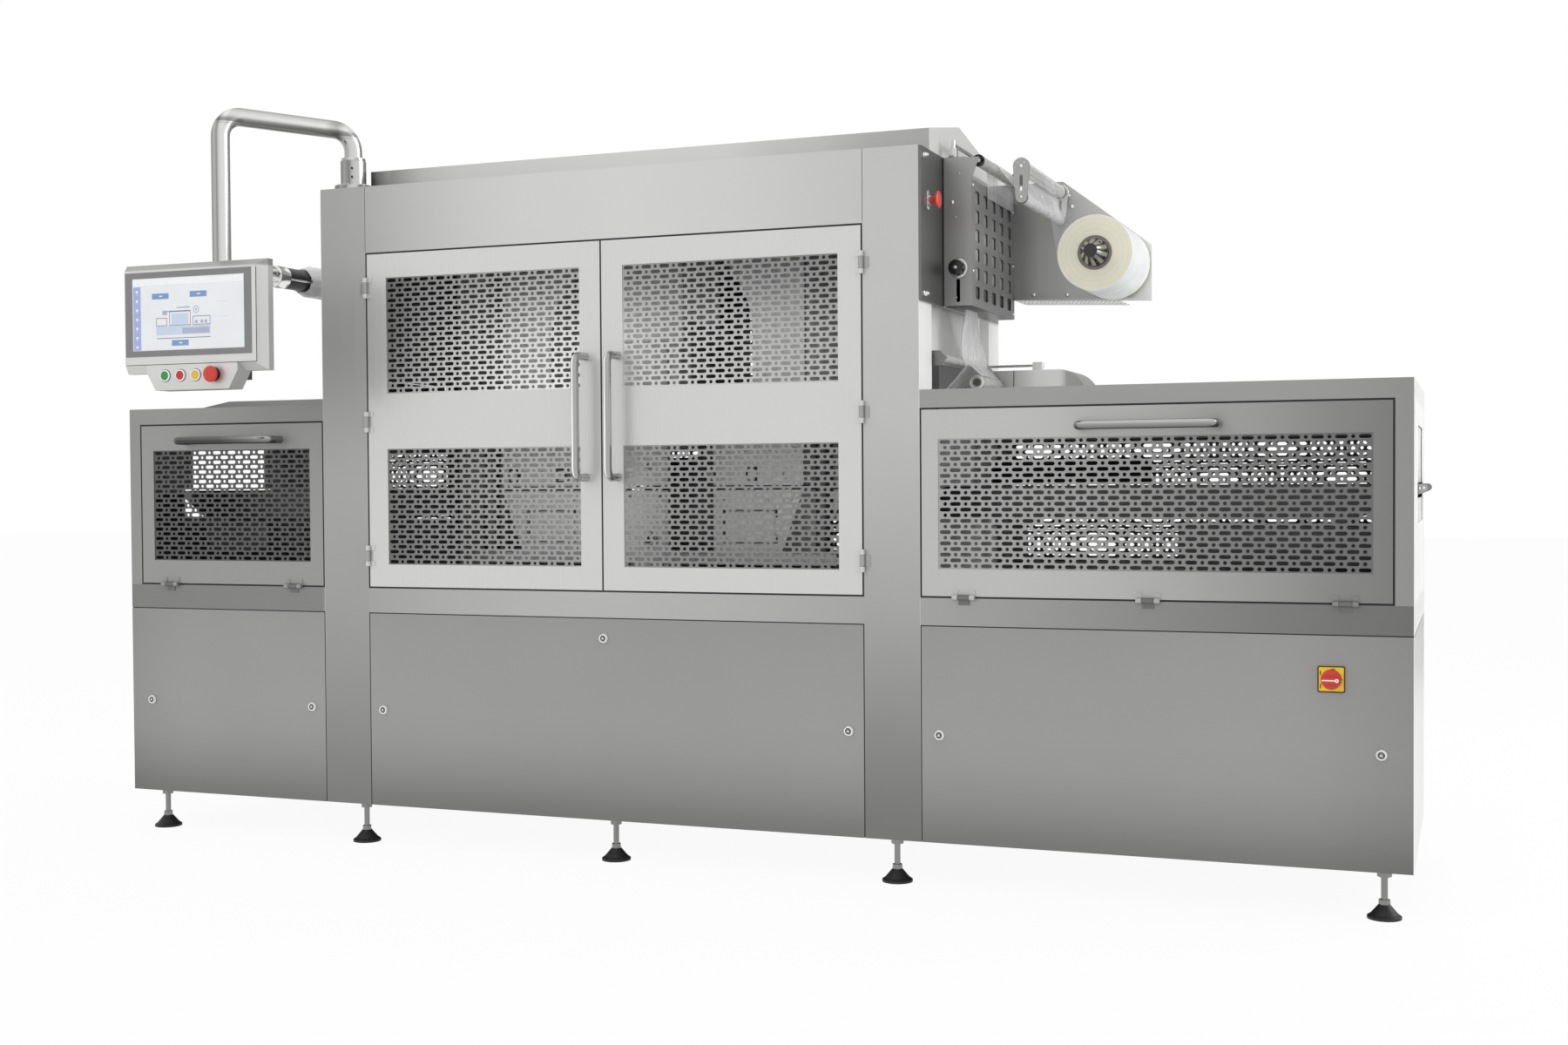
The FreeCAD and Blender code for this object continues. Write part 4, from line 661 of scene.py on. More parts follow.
def addPiercedSheets(p):
    doorWindows = [(67.5, 703, 835, 1175), (67.5, 703, 1338, 1678)]
    mirrored = [(-b, -a, c, d) for a, b, c, d in doorWindows]
    outlet, inlet = [(-1557, -978, 840, 1180)], [(978, 2060, 840, 1180)]
    for name, windows, finish, body, replaced in (
            ("leftDoorPierced", mirrored, "doorMesh", "left_door", "left_door_mesh"),
            ("rightDoorPierced", doorWindows, "doorMesh", "right_door", "right_door_mesh"),
            ("outletPierced", outlet, "guardMesh", "outlet_guard", "outlet_guard_mesh"),
            ("inletPierced", inlet, "guardMesh", "inlet_guard", "inlet_guard_mesh")):
        low, high = nodeBox(replaced)
        verts, faces = [], []
        for window in windows:
            piercedSheet(verts, faces, window, low[1], p)
        piece = makePiece(name, verts, faces, finish, body)
        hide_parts(replaced)
        print(name, "made in", [round(v, 1) for v in low + high], len(faces), "faces")
    low, high = nodeBox("rear_mesh")
    verts, faces = [], []
    for window in mirrored + doorWindows + outlet + inlet:
        piercedSheet(verts, faces, window, low[1], p, fine=False)
    piece = makePiece("rearPierced", verts, faces, "rearMesh", "frame")
    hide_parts("rear_mesh")
    print("rearPierced in", [round(v, 1) for v in low + high], len(faces), "faces")


addPiercedSheets(piercing)
print("pierced sheets made")


# shapes: each helper adds one closed form to a mesh, in machine millimetres, with a finish number
toFront, toBack, toRight, toTop = (0, -1, 0), (0, 1, 0), (1, 0, 0), (0, 0, 1)


def middleOf(name):  # middle of a node's rear face
    low, high = nodeBox(name)
    return (low[0] + high[0]) / 2, high[1], (low[2] + high[2]) / 2


def loopFaces(mesh, low, high, faces):
    count = len(low)
    for k in range(count):
        a, b = low[k], low[(k + 1) % count]
        c, d = high[(k + 1) % count], high[k]
        corners = [v for n, v in enumerate((a, b, c, d)) if v not in (a, b, c, d)[:n]]
        if len(corners) > 2:
            faces.append(mesh.faces.new(corners))


def addTurned(mesh, profile, place, along, finish=0, steps=28, closed=False):
    # profile: (radius, distance) pairs, or (radius, distance, finish of the step that follows)
    d = Vector(along).normalized()
    side = d.orthogonal().normalized()
    up = d.cross(side)
    base = Vector(place)
    rings = []
    for radius, distance, *own in profile:
        count = 1 if radius == 0 else steps
        ring = []
        for k in range(count):
            a = 2 * math.pi * k / steps
            point = base + d * distance + (side * math.cos(a) + up * math.sin(a)) * radius
            ring.append(mesh.verts.new(at(*point)))
        rings.append((ring * steps if count == 1 else ring, own[0] if own else finish))
    pairs = list(zip(rings, rings[1:] + rings[:1])) if closed else list(zip(rings, rings[1:]))
    for (low, number), (high, _) in pairs:
        faces = []
        loopFaces(mesh, low, high, faces)
        for face in faces:
            face.material_index = number
    if not closed:
        for (ring, number), flip in ((rings[0], True), (rings[-1], False)):
            if ring[0] is not ring[1]:
                mesh.faces.new(ring[::-1] if flip else ring).material_index = number


def bevelEdges(mesh, edges, width, finish):  # each edge once, in a fixed order
    bmesh.ops.bevel(mesh, geom=list(dict.fromkeys(edges)), offset=width / 1000, segments=2, affect="EDGES",
                    profile=0.5, material=finish)


def addBlock(mesh, low, high, finish=0, edge=0.0):
    corners = [mesh.verts.new(at(*(high[i] if bit >> i & 1 else low[i] for i in range(3)))) for bit in range(8)]
    sides = ((0, 2, 3, 1), (4, 5, 7, 6), (0, 1, 5, 4), (2, 6, 7, 3), (0, 4, 6, 2), (1, 3, 7, 5))
    faces = [mesh.faces.new([corners[k] for k in side]) for side in sides]
    for face in faces:
        face.material_index = finish
    if edge:
        bevelEdges(mesh, [e for f in faces for e in f.edges], edge, finish)


def addPlate(mesh, outline, start, end, along="y", finish=0, edge=0.0):
    # outline: points of the face across the named direction, in order
    def place(a, b, c):
        return {"x": (c, a, b), "y": (a, c, b), "z": (a, b, c)}[along]
    low = [mesh.verts.new(at(*place(a, b, start))) for a, b in outline]
    high = [mesh.verts.new(at(*place(a, b, end))) for a, b in outline]
    faces = [mesh.faces.new(low), mesh.faces.new(high[::-1])]
    loopFaces(mesh, low, high, faces)
    for face in faces:
        face.material_index = finish
    if edge:
        bevelEdges(mesh, [*faces[0].edges, *faces[1].edges], edge, finish)


def addTube(mesh, points, across, finish=0, steps=14):
    path = [Vector(p) for p in points]
    rings, normal = [], None
    for k, point in enumerate(path):
        ahead = (path[min(k + 1, len(path) - 1)] - path[max(k - 1, 0)]).normalized()
        normal = (ahead.orthogonal() if normal is None else normal - ahead * normal.dot(ahead)).normalized()
        side = ahead.cross(normal)
        turns = [2 * math.pi * j / steps for j in range(steps)]
        rings.append([mesh.verts.new(at(*(point + (normal * math.cos(a) + side * math.sin(a)) * across / 2)))
                      for a in turns])
    faces = []
    for low, high in zip(rings, rings[1:]):
        loopFaces(mesh, low, high, faces)
    faces += [mesh.faces.new(rings[0][::-1]), mesh.faces.new(rings[-1])]
    for face in faces:
        face.material_index = finish


def roundedBox(x0, x1, z0, z1, radius, steps=4):  # outline of a rectangle with round corners
    points = []
    for cx, cz, start in ((x1 - radius, z1 - radius, 0), (x0 + radius, z1 - radius, 90),
                          (x0 + radius, z0 + radius, 180), (x1 - radius, z0 + radius, 270)):
        points += [circlePoint(cx, cz, radius, math.radians(start + 90 * k / steps)) for k in range(steps + 1)]
    return points


def finishPiece(name, mesh, finishNames, body, smooth=35, standsFor=(), blendWith=None):
    bmesh.ops.recalc_face_normals(mesh, faces=mesh.faces)
    data = bpy.data.meshes.new(name)
    mesh.to_mesh(data)
    mesh.free()
    for finish in finishNames:
        data.materials.append(finishes[finish])
    piece = newObject(name, data)
    data.shade_smooth()
    data.set_sharp_from_angle(angle=math.radians(smooth))
    if standsFor:
        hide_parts(*standsFor)
    if blendWith:
        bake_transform(piece)
    else:
        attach(piece, body)
    return piece


# black strips in the running gaps stand in for the shade in the seams, so that they read as dark lines
gapShade = {"front": 1.0, "back": 12.0, "doorGap": 5.0, "panelSeam": 3.0, "clear": 1.2}


def addGapShade(g):
    mesh = bmesh.new()
    y0, y1 = g["front"], g["back"]
    thick = g["doorGap"] - g["clear"]
    for x0, x1, z0, z1 in ((-773, 773, 764, 1754), (-1607, -928, 764, 1262), (928, 2110, 764, 1262)):
        for low, high in (((x0, y0, z0), (x0 + thick, y1, z1)), ((x1 - thick, y0, z0), (x1, y1, z1)),
                          ((x0 + thick, y0, z1 - thick), (x1 - thick, y1, z1)),
                          ((x0 + thick, y0, z0), (x1 - thick, y1, z0 + thick))):
            addBlock(mesh, low, high, 0, 0.6)
    for x in (-773.6, 772.4):                             # seams of the header beside the columns
        addBlock(mesh, (x, -0.25, 1758), (x + 1.2, 0.6, 1949.6), 0, 0.1)
    seam = g["panelSeam"]
    for x in (-931, -773, 770, 928):
        addBlock(mesh, (x, y0, 121), (x + seam, y1, 692), 0, 0.4)
    for x0, x1 in ((-1646, -932), (-769, 769), (932, 2152)):
        addBlock(mesh, (x0, y0, 689), (x1, y1, 692), 0, 0.4)
    finishPiece("seamShadeStrips", mesh, ["blackRubber"], "frame")
    mesh = bmesh.new()
    # black strip behind the seam of the doors: painted shade of the gap
    addBlock(mesh, (-2.6, y0, 769), (0.8, y1 + 8, 1749), 0, 0.6)
    finishPiece("doorGapShade", mesh, ["blackRubber"], "left_door")


addGapShade(gapShade)

# operator panel: display, front frame, push buttons and stop button
panelSet = {"frameSide": 14.0, "frameFoot": 22.0, "frameThick": 1.2, "gasket": 1.6, "capAcross": 24.4,
            "ringAcross": 33.0, "ringReach": 4.5, "capReach": 5.5, "stopReach": 0.72}


def addDisplay():
    (x0, y0, z0), (x1, y1, z1) = nodeBox("operator_screen")
    mesh = bmesh.new()
    addPlate(mesh, roundedBox(x0, x1, z0, z1, 2), y0 + 0.1, y1, finish=0)

    def field(u0, v0, u1, v1, finish, lift=0.25, radius=1.2):
        left, right = x0 + (x1 - x0) * u0, x0 + (x1 - x0) * u1
        top, bottom = z1 - (z1 - z0) * v0, z1 - (z1 - z0) * v1
        addPlate(mesh, roundedBox(left, right, bottom, top, min(radius, (right - left) / 2.2, (top - bottom) / 2.2)),
                 y0 - lift, y0 + 0.2, finish=finish)

    field(0.004, 0.006, 0.996, 0.10, 1, 0.12)             # title band, left bare
    field(0.008, 0.115, 0.075, 0.992, 2)                  # menu bar
    for k in range(7):
        v = 0.165 + 0.127 * k
        field(0.032, v, 0.052, v + 0.034, 1, 0.45, 3.0)
        field(0.037, v + 0.045, 0.047, v + 0.052, 1, 0.45, 0.5)
    for u, v in ((0.18, 0.215), (0.52, 0.205), (0.355, 0.865)):   # soft keys
        field(u, v, u + 0.15, v + 0.078, 3)
        field(u + 0.065, v + 0.032, u + 0.095, v + 0.046, 1, 0.45)
    # line drawing of a sealing line
    for u0, v0, u1, v1 in ((0.215, 0.555, 0.312, 0.665), (0.335, 0.47, 0.525, 0.665), (0.545, 0.545, 0.70, 0.665)):
        for a0, b0, a1, b1 in ((u0, v0, u1, v0 + 0.007), (u0, v1 - 0.007, u1, v1), (u0, v0, u0 + 0.003, v1),
                               (u1 - 0.003, v0, u1, v1)):
            field(a0, b0, a1, b1, 4, 0.3, 0.2)
    field(0.355, 0.50, 0.505, 0.65, 5, 0.2)
    field(0.215, 0.67, 0.70, 0.79, 5, 0.2)
    field(0.45, 0.70, 0.69, 0.78, 6, 0.3)
    field(0.22, 0.832, 0.70, 0.84, 4, 0.3, 0.3)
    field(0.272, 0.455, 0.315, 0.515, 6, 0.3)
    field(0.315, 0.462, 0.52, 0.470, 4, 0.3, 0.3)
    field(0.40, 0.415, 0.52, 0.423, 4, 0.3, 0.3)
    for u in (0.565, 0.615, 0.65):
        field(u, 0.60, u + 0.022, 0.645, 6, 0.3, 2.0)
    circleX, circleZ = x0 + (x1 - x0) * 0.575, z1 - (z1 - z0) * 0.455
    addTurned(mesh, [(9.5, 0), (9.5, 0.5), (8.6, 0.5), (8.6, 0.0)], (circleX, y0 + 0.2, circleZ), toFront, 4, 24)
    addTurned(mesh, oblong(0, 3.2, 0, 0.45), (circleX, y0 + 0.2, circleZ), toFront, 6, 16)
    for u, v in ((0.76, 0.36), (0.76, 0.56)):
        field(u, v, u + 0.10, v + 0.005, 5, 0.2, 0.2)
    finishPiece("display", mesh, ["screenGlass", "screenWhite", "menuBlue", "keyBlue", "lineGrey", "paleBlue",
                                  "lilacGrey"], "operator_panel", standsFor=["operator_screen"])


def addFrontFrame(o):
    (bx0, _, bz0), (bx1, by1, bz1) = nodeBox("operator_bezel")
    side, foot, deep = bx1 + o["frameSide"], bz0 - o["frameFoot"], by1 - o["frameThick"]
    mesh = bmesh.new()
    addPlate(mesh, [(bx0, foot), (side, foot), (side, bz1), (bx1, bz1), (bx1, bz0), (bx0, bz0)], deep, by1 + 0.3,
             finish=0)
    rim = o["gasket"]
    addPlate(mesh, [(bx0, foot - rim), (side + rim, foot - rim), (side + rim, bz1), (side, bz1), (side, foot),
                    (bx0, foot)], by1 - 0.5, by1 + 0.2, finish=1)
    finishPiece("panelFrontFrame", mesh, ["panelLight", "blackRubber"], "operator_panel")


def addPushButtons(o):
    outer, inner, reach, cap = o["ringAcross"] / 2, o["capAcross"] / 2, o["ringReach"], o["capReach"]
    profiles = ([(0, 0), (outer, 0), (outer, reach - 1.5), (outer - 1, reach), (inner + 0.9, reach),
                 (inner + 0.6, reach - 2), (0, reach - 2)],               # pale ring
                [(0, reach - 2.2), (inner, reach - 2.2), (inner, cap - 1.2), (inner - 0.8, cap - 0.3),
                 (inner - 2.2, cap), (inner - 3.4, cap - 0.3), (0, cap - 0.5)],   # cap in its colour
                [(0, 0), (outer + 1.6, 0), (outer + 1.6, 0.8), (outer + 0.6, 1.2), (0, 1.2)])   # dark seat: painted shadow round the ring
    for name, capFinish, pieceName in (("button_start", "greenCap", "startButton"),
                                       ("button_stop", "redCap", "stopButton"),
                                       ("button_reset", "yellowCap", "resetButton")):
        mesh = bmesh.new()
        for finish, profile in enumerate(profiles):
            addTurned(mesh, profile, middleOf(name), toFront, finish, 36)
        finishPiece(pieceName, mesh, ["ringWhite", capFinish, "darkSteel"], "operator_panel", standsFor=[name])


def addPanelStop(o):
    centre, deep = middleOf("stop_mushroom"), o["stopReach"]
    mesh = bmesh.new()
    addTurned(mesh, [(0, 0), (21, 0), (21, 2.4), (19.5, 3.2), (14.5, 3.2), (14.5, 0.5), (0, 0.5)], centre, toFront, 0,
              40)
    mushroom = ((0, 0.6), (14.2, 0.6), (13.4, 9), (14.6, 14), (19.5, 18), (22.4, 20.5), (23, 23), (23, 27),
                (21.8, 30), (18.5, 32.3), (13, 33.6), (6, 34), (0, 34))
    addTurned(mesh, [(r, d * deep) for r, d in mushroom], centre, toFront, 1, 44)
    finishPiece("panelStop", mesh, ["darkSteel", "redPlastic"], "operator_panel", smooth=50,
                standsFor=["stop_mushroom"])


addDisplay()
addFrontFrame(panelSet)
addPushButtons(panelSet)
addPanelStop(panelSet)

# main switch: black rim, dial marks and the knob's white pointer
switchSet = {"rim": 3.2}


def addMainSwitch(w):
    (x0, y0, z0), (x1, y1, z1) = nodeBox("switch_plate")
    mesh = bmesh.new()
    rim = w["rim"]
    outer, inner = roundedBox(x0, x1, z0, z1, 5, 5), roundedBox(x0 + rim, x1 - rim, z0 + rim, z1 - rim, 2.5, 5)
    count = len(outer)
    for k in range(count):
        a, b = outer[k], outer[(k + 1) % count]
        c, d = inner[(k + 1) % count], inner[k]
        addPlate(mesh, [a, b, c, d], y0 - 0.6, y0, finish=1)
    addPlate(mesh, roundedBox(x0, x1, z0, z1, 5, 5), y0, y1, finish=0, edge=0.4)
    cx, cz = (x0 + x1) / 2, (z0 + z1) / 2
    for z in (cz - 17, cz + 15):
        addPlate(mesh, roundedBox(x0 + 6, x0 + 8.4, z - 6, z + 6, 0.8), y0 - 0.3, y0, finish=1)
    for x, z in ((x1 - 8, cz), (cx + 2, z1 - 7.5), (cx + 7, z1 - 8)):
        addPlate(mesh, roundedBox(x - 2, x + 2, z - 0.9, z + 0.9, 0.4), y0 - 0.3, y0, finish=1)
    finishPiece("switchFace", mesh, ["yellowPlate", "blackPlastic"], "frame", standsFor=["switch_plate"])

    (a0, b0, c0), (a1, b1, c1) = nodeBox("switch_knob")
    cx, cz = (a0 + a1) / 2, (c0 + c1) / 2
    mesh = bmesh.new()
    addTurned(mesh, [(0, 0), (24, 0), (24, 9), (22.6, 12), (19, 13.5), (0, 14)], (cx, b1, cz), toFront, 0, 44)
    grip = roundedBox(cx - 21.5, cx + 21.5, cz - 7.2, cz + 7.2, 6.5, 5)
    addPlate(mesh, grip, b0 + 0.4, b1 - 8, finish=0, edge=2.2)
    addPlate(mesh, roundedBox(cx - 20, cx + 12, cz - 1.4, cz + 1.4, 1.2), b0, b0 + 1.4, finish=1)
    addTurned(mesh, [(0, 0), (4.6, 0), (4.6, 1.2), (2.0, 1.2), (1.6, 0.6), (0, 0.6)], (cx + 15, b0 + 1.25, cz),
              toFront, 1, 20)
    finishPiece("switchKnob", mesh, ["redPlastic", "screenWhite"], "main_switch", standsFor=["switch_knob"])


addMainSwitch(switchSet)
print("seals, operator panel and main switch made")

# film unit: stop button, screws, web sensor, slotted tray, foot, backing sheet and tension knob
filmSet = {"screwAcross": 9.0, "knobLobes": 7, "traySlots": 27, "slotPitch": 12.0, "slotRib": 5.0}


def addDomeScrew(mesh, place, along, across, finish=0):
    r = across / 2
    addTurned(mesh, [(0, -0.5), (r, -0.5), (r, 0.8), (r * 0.86, 1.9), (r * 0.5, 2.7), (r * 0.3, 2.8), (r * 0.26, 1.6),
                     (0, 1.6)], place, along, finish, 16)


def addFilmUnitStop():
    (x0, y0, z0), (x1, y1, z1) = nodeBox("side_stop")
    cy, cz = (y0 + y1) / 2, (z0 + z1) / 2
    mesh = bmesh.new()
    addPlate(mesh, roundedBox(cy - 13, cy + 13, cz - 26, cz + 26, 12, 6), x0, x0 + 3, "x", 0, 0.6)
    addTurned(mesh, [(0, 2.5), (12.5, 2.5), (12.5, 8), (11, 9), (0, 9)], (x0, cy, cz), toRight, 0, 28)
    addTurned(mesh, [(0, 8.5), (10.5, 8.5), (9.8, 15), (11, 20), (17, 23), (22, 25), (23, 27.5), (22.6, 30.5),
                     (19, 32.6), (12, 33.7), (0, 34)], (x0, cy, cz), toRight, 1, 40)
    finishPiece("filmUnitStop", mesh, ["chrome", "redPlastic"], "frame", smooth=50, standsFor=["side_stop"])


def addFilmUnitScrews(f):
    mesh = bmesh.new()
    stud = [(0, 0), (8, 0), (8, 3), (6.5, 4), (6.5, 9), (5.6, 10), (4, 10.2), (4, 14), (3.2, 15), (0, 15)]
    for z in (1925, 1563):                                # studs that hold the side plate
        addTurned(mesh, stud, (936, 20, z), toRight, 0, 20)
    addDomeScrew(mesh, (962, 205, 1826), toFront, f["screwAcross"] * 1.2)
    for x, z in ((983, 1902), (972, 1785), (973, 1568)):
        addDomeScrew(mesh, (x, 205, z), toFront, f["screwAcross"] * 0.6, 1)
    for z in (1872, 1640):                                # screws of the pierced plate
        addDomeScrew(mesh, (1016, 222, z), toRight, f["screwAcross"])
    for z in (1858, 1700, 1560):
        addDomeScrew(mesh, (1016, 672, z), toRight, f["screwAcross"])
    for x, z in ((1074, 1616), (1174, 1612), (1188, 1868), (1040, 1890)):   # screws of the film cheek
        addDomeScrew(mesh, (x, 685, z), toFront, 12.0)
    for x in (1100, 1180):                                # lock screws near the dancer pivot
        addDomeScrew(mesh, (x, 685, 1900), toFront, 9.0)
    addTurned(mesh, [(0, 0), (24, 0), (24, 5), (22.5, 6.5), (13, 6.5), (13, 9), (11.5, 10), (0, 10)],
              (1157, 685, 1908), toFront, 1, 32)       # flange that carries the dancer
    addDomeScrew(mesh, (1173, 679, 1896), toFront, 7.0)
    addDomeScrew(mesh, (1141, 679, 1920), toFront, 7.0)
    addTurned(mesh, [(26.0, 0), (26.0, 2.4), (24.5, 3.4), (21.5, 3.4), (21.5, 0)], (978, 205, 1647), toFront, 1, 40)
    finishPiece("filmUnitScrews", mesh, ["chrome", "turnedSteel"], "frame")


def addWebSensor():  # the sensor and its clamp over the top roller
    mesh = bmesh.new()
    addBlock(mesh, (950, 212, 1948), (972, 232, 1972), 0, 1.5)
    addTurned(mesh, [(0, 0), (9, 0), (9, 4), (5.5, 5), (5.5, 26), (4.5, 27), (0, 27)], (961, 222, 1970), toTop, 0, 20)
    addTube(mesh, [(961, 222, 1984), (961, 300, 1984), (961, 420, 1984)], 11, 0, 14)
    addBlock(mesh, (950, 300, 1948), (978, 372, 1966), 1, 3)
    addBlock(mesh, (985, 330, 1950), (1009, 366, 1974), 1, 4)
    addBlock(mesh, (1052, 560, 1948), (1078, 610, 1966), 2, 2)
    addBlock(mesh, (1078, 556, 1944), (1106, 614, 1970), 3, 3)
    addBlock(mesh, (1040, 566, 1938), (1056, 604, 1954), 2, 1.5)
    finishPiece("webSensor", mesh, ["turnedSteel", "boxSteel", "darkSteel", "paleAlloy"], "frame")


def addCheekTray(f):  # slotted tray behind the film cheek, sloped like the cheek's lower edge
    mesh = bmesh.new()
    for k in range(f["traySlots"] - 1):
        a = 1016 + k * f["slotPitch"]
        b, z = a + f["slotPitch"], 1605 - (a - 928) * 20 / 490
        for c, d in ((692, 702), (738, 746), (782, 790), (826, 836)):     # bars along the tray
            addPlate(mesh, oblong(a, b, c, d), z, z + 1.6, "z")
        for c, d in ((702, 738), (746, 782), (790, 826)):                 # ribs between the slots
            addPlate(mesh, oblong(a, a + f["slotRib"], c, d), z, z + 1.6, "z")
    finishPiece("cheekTray", mesh, ["paleAlloy"], "frame")


def addUnitSheets():
    mesh = bmesh.new()                                    # folded foot of the unit, behind the pierced plate
    addBlock(mesh, (940, 232, 1545), (1012.5, 683, 1547), 0, 0.4)
    addBlock(mesh, (940, 672, 1547), (1012.5, 683.5, 1612), 0, 0.6)
    addBlock(mesh, (998, 560, 1547), (1012, 600, 1566), 0, 1.0)
    finishPiece("unitFoot", mesh, ["darkSteel"], "frame")

    mesh = bmesh.new()                                    # grey sheet a little behind the pierced plate
    addBlock(mesh, (1008.6, 214, 1562), (1010.6, 680, 1880), 0, 0.5)
    for y in (216, 676):
        addBlock(mesh, (1010.4, y, 1562), (1013.8, y + 3, 1880), 0, 0.3)
    finishPiece("unitBacking", mesh, ["backingSteel"], "frame")


def addTensionKnob(f):  # lobed black knob on a bright washer
    (x0, y0, z0), (x1, y1, z1) = nodeBox("tension_knob")
    cx, cz, lobes = (x0 + x1) / 2, (z0 + z1) / 2, f["knobLobes"]
    mesh = bmesh.new()
    turns = [2 * math.pi * k / (lobes * 8) for k in range(lobes * 8)]
    addPlate(mesh, [circlePoint(cx, cz, 19.6 + 2.1 * math.cos(lobes * a), a) for a in turns], y0 + 1.5, y0 + 17,
             finish=0, edge=2.6)
    for profile, y, finish, steps, closed in (
            ([(0, 0), (13.5, 0), (12.5, -1.2), (9.0, -1.5), (8.2, -0.4), (0, -0.2)], y0 + 1.6, 0, 40, False),
            ([(0, 16), (16.5, 16), (14, 22), (12, 24), (12, 28), (0, 28)], y0, 0, 40, False),
            ([(12.2, 26.5), (20.5, 26.5), (21.5, 27.4), (21.5, 30), (12.2, 30)], y0, 1, 44, True),
            ([(0, -0.8), (4.4, -0.8), (5.0, -0.2), (5.0, 1), (0, 1)], y0 + 1.5, 1, 24, False)):
        addTurned(mesh, profile, (cx, y, cz), toBack, finish, steps, closed)
    finishPiece("knobLobed", mesh, ["glossBlack", "chrome"], "frame", smooth=40, standsFor=["tension_knob"])


addFilmUnitStop()
addFilmUnitScrews(filmSet)
addWebSensor()
addCheekTray(filmSet)
addUnitSheets()
addTensionKnob(filmSet)

# film: the webs that run over the rollers, the gathered ribbon below, the roll and the rewinder
webSet = {"low": 385.0, "high": 662.0, "thick": 0.5, "lift": 0.6,   # axes of the rollers as (x, z)
          "topAxis": (1033, 1936), "lowAxis": (1157, 1826), "highAxis": (1157, 1908), "rollAxis": (1314, 1693),
          "topRadius": 15.5, "lowRadius": 14.5, "highRadius": 17, "rollRadius": 103.5}


def addSheet(mesh, rows, finish=0, thick=0.5):
    # closed thin sheet through a grid of points; neighbours give the side it is thickened to
    deep, wide = len(rows), len(rows[0])
    grid = [[Vector(q) for q in row] for row in rows]
    fronts, backs = [], []
    for i in range(deep):
        for sheet in (fronts, backs):
            sheet.append([])
        for j in range(wide):
            alongRow = grid[i][min(j + 1, wide - 1)] - grid[i][max(j - 1, 0)]
            downRow = grid[min(i + 1, deep - 1)][j] - grid[max(i - 1, 0)][j]
            normal = alongRow.cross(downRow).normalized() * thick / 2
            fronts[-1].append(mesh.verts.new(at(*(grid[i][j] + normal))))
            backs[-1].append(mesh.verts.new(at(*(grid[i][j] - normal))))
    faces = []
    for i in range(deep - 1):
        for j in range(wide - 1):
            faces.append(mesh.faces.new((fronts[i][j], fronts[i][j + 1], fronts[i + 1][j + 1], fronts[i + 1][j])))
            faces.append(mesh.faces.new((backs[i][j], backs[i + 1][j], backs[i + 1][j + 1], backs[i][j + 1])))
    rim = ([(i, 0) for i in range(deep)] + [(deep - 1, j) for j in range(1, wide)]
           + [(i, wide - 1) for i in range(deep - 2, -1, -1)] + [(0, j) for j in range(wide - 2, 0, -1)])
    for (i, j), (k, m) in zip(rim, rim[1:] + rim[:1]):
        faces.append(mesh.faces.new((fronts[i][j], fronts[k][m], backs[k][m], backs[i][j])))
    for face in faces:
        face.material_index = finish


def roundPath(centre, radius, start, end, count=8):
    return [circlePoint(*centre, radius, math.radians(start + (end - start) * k / count)) for k in range(count + 1)]


def bowed(path, y0, y1, sag=0.0, across=8):  # rows of points for addSheet, with a small wave across the web
    rows = []
    for n, (x, z) in enumerate(path):
        share = math.sin(math.pi * n / (len(path) - 1))
        rows.append([(x + sag * share * math.sin(5.0 * k / across), y0 + (y1 - y0) * k / across,
                      z + sag * share * math.cos(3.0 * k / across)) for k in range(across + 1)])
    return rows


def between(a, b, count=6):
    return [(a[0] + (b[0] - a[0]) * k / count, a[1] + (b[1] - a[1]) * k / count) for k in range(1, count)]


def addRollerWebs(w):
    topAxis, lowAxis, highAxis, rollAxis = [w[roller + "Axis"] for roller in ("top", "low", "high", "roll")]
    topR, lowR, highR, rollR = [w[roller + "Radius"] + w["lift"] for roller in ("top", "low", "high", "roll")]
    y0, y1 = w["low"], w["high"]

    down = [(1019.5, 1856), (1018.5, 1890)] + roundPath(topAxis, topR, 182, 37.8, 8)
    end = roundPath(lowAxis, lowR, 217.8, 217.8, 1)[0]
    mesh = bmesh.new()
    path = down + between(down[-1], end, 8) + [end]
    addSheet(mesh, bowed(path, y0 - 20, y1, 1.6), 0, w["thick"])
    finishPiece("entryWeb", mesh, ["dullFilm"], None, smooth=60,
                blendWith=("frame", "dancer", at(down[-1][0], 500, down[-1][1]), at(end[0], 500, end[1])))

    under = roundPath(lowAxis, lowR, 217.8, 383.0, 10)
    over = roundPath(highAxis, highR, 203.0, 9.0, 10)
    mesh = bmesh.new()
    addSheet(mesh, bowed(under + between(under[-1], over[0], 4) + over, y0 - 175, y1 - 4, 0.0), 0, w["thick"])
    finishPiece("dancerWeb", mesh, ["dullFilm"], "dancer", smooth=60)

    touch = roundPath(rollAxis, rollR, 189.0, 215.0, 4)
    mesh = bmesh.new()
    addSheet(mesh, bowed([over[-1]] + between(over[-1], touch[0], 8) + touch, y0, y1, 1.2), 0, w["thick"])
    finishPiece("rollWeb", mesh, ["clearFilm"], None, smooth=60,
                blendWith=("dancer", "frame", at(over[-1][0], 500, over[-1][1]), at(touch[0][0], 500, touch[0][1])))


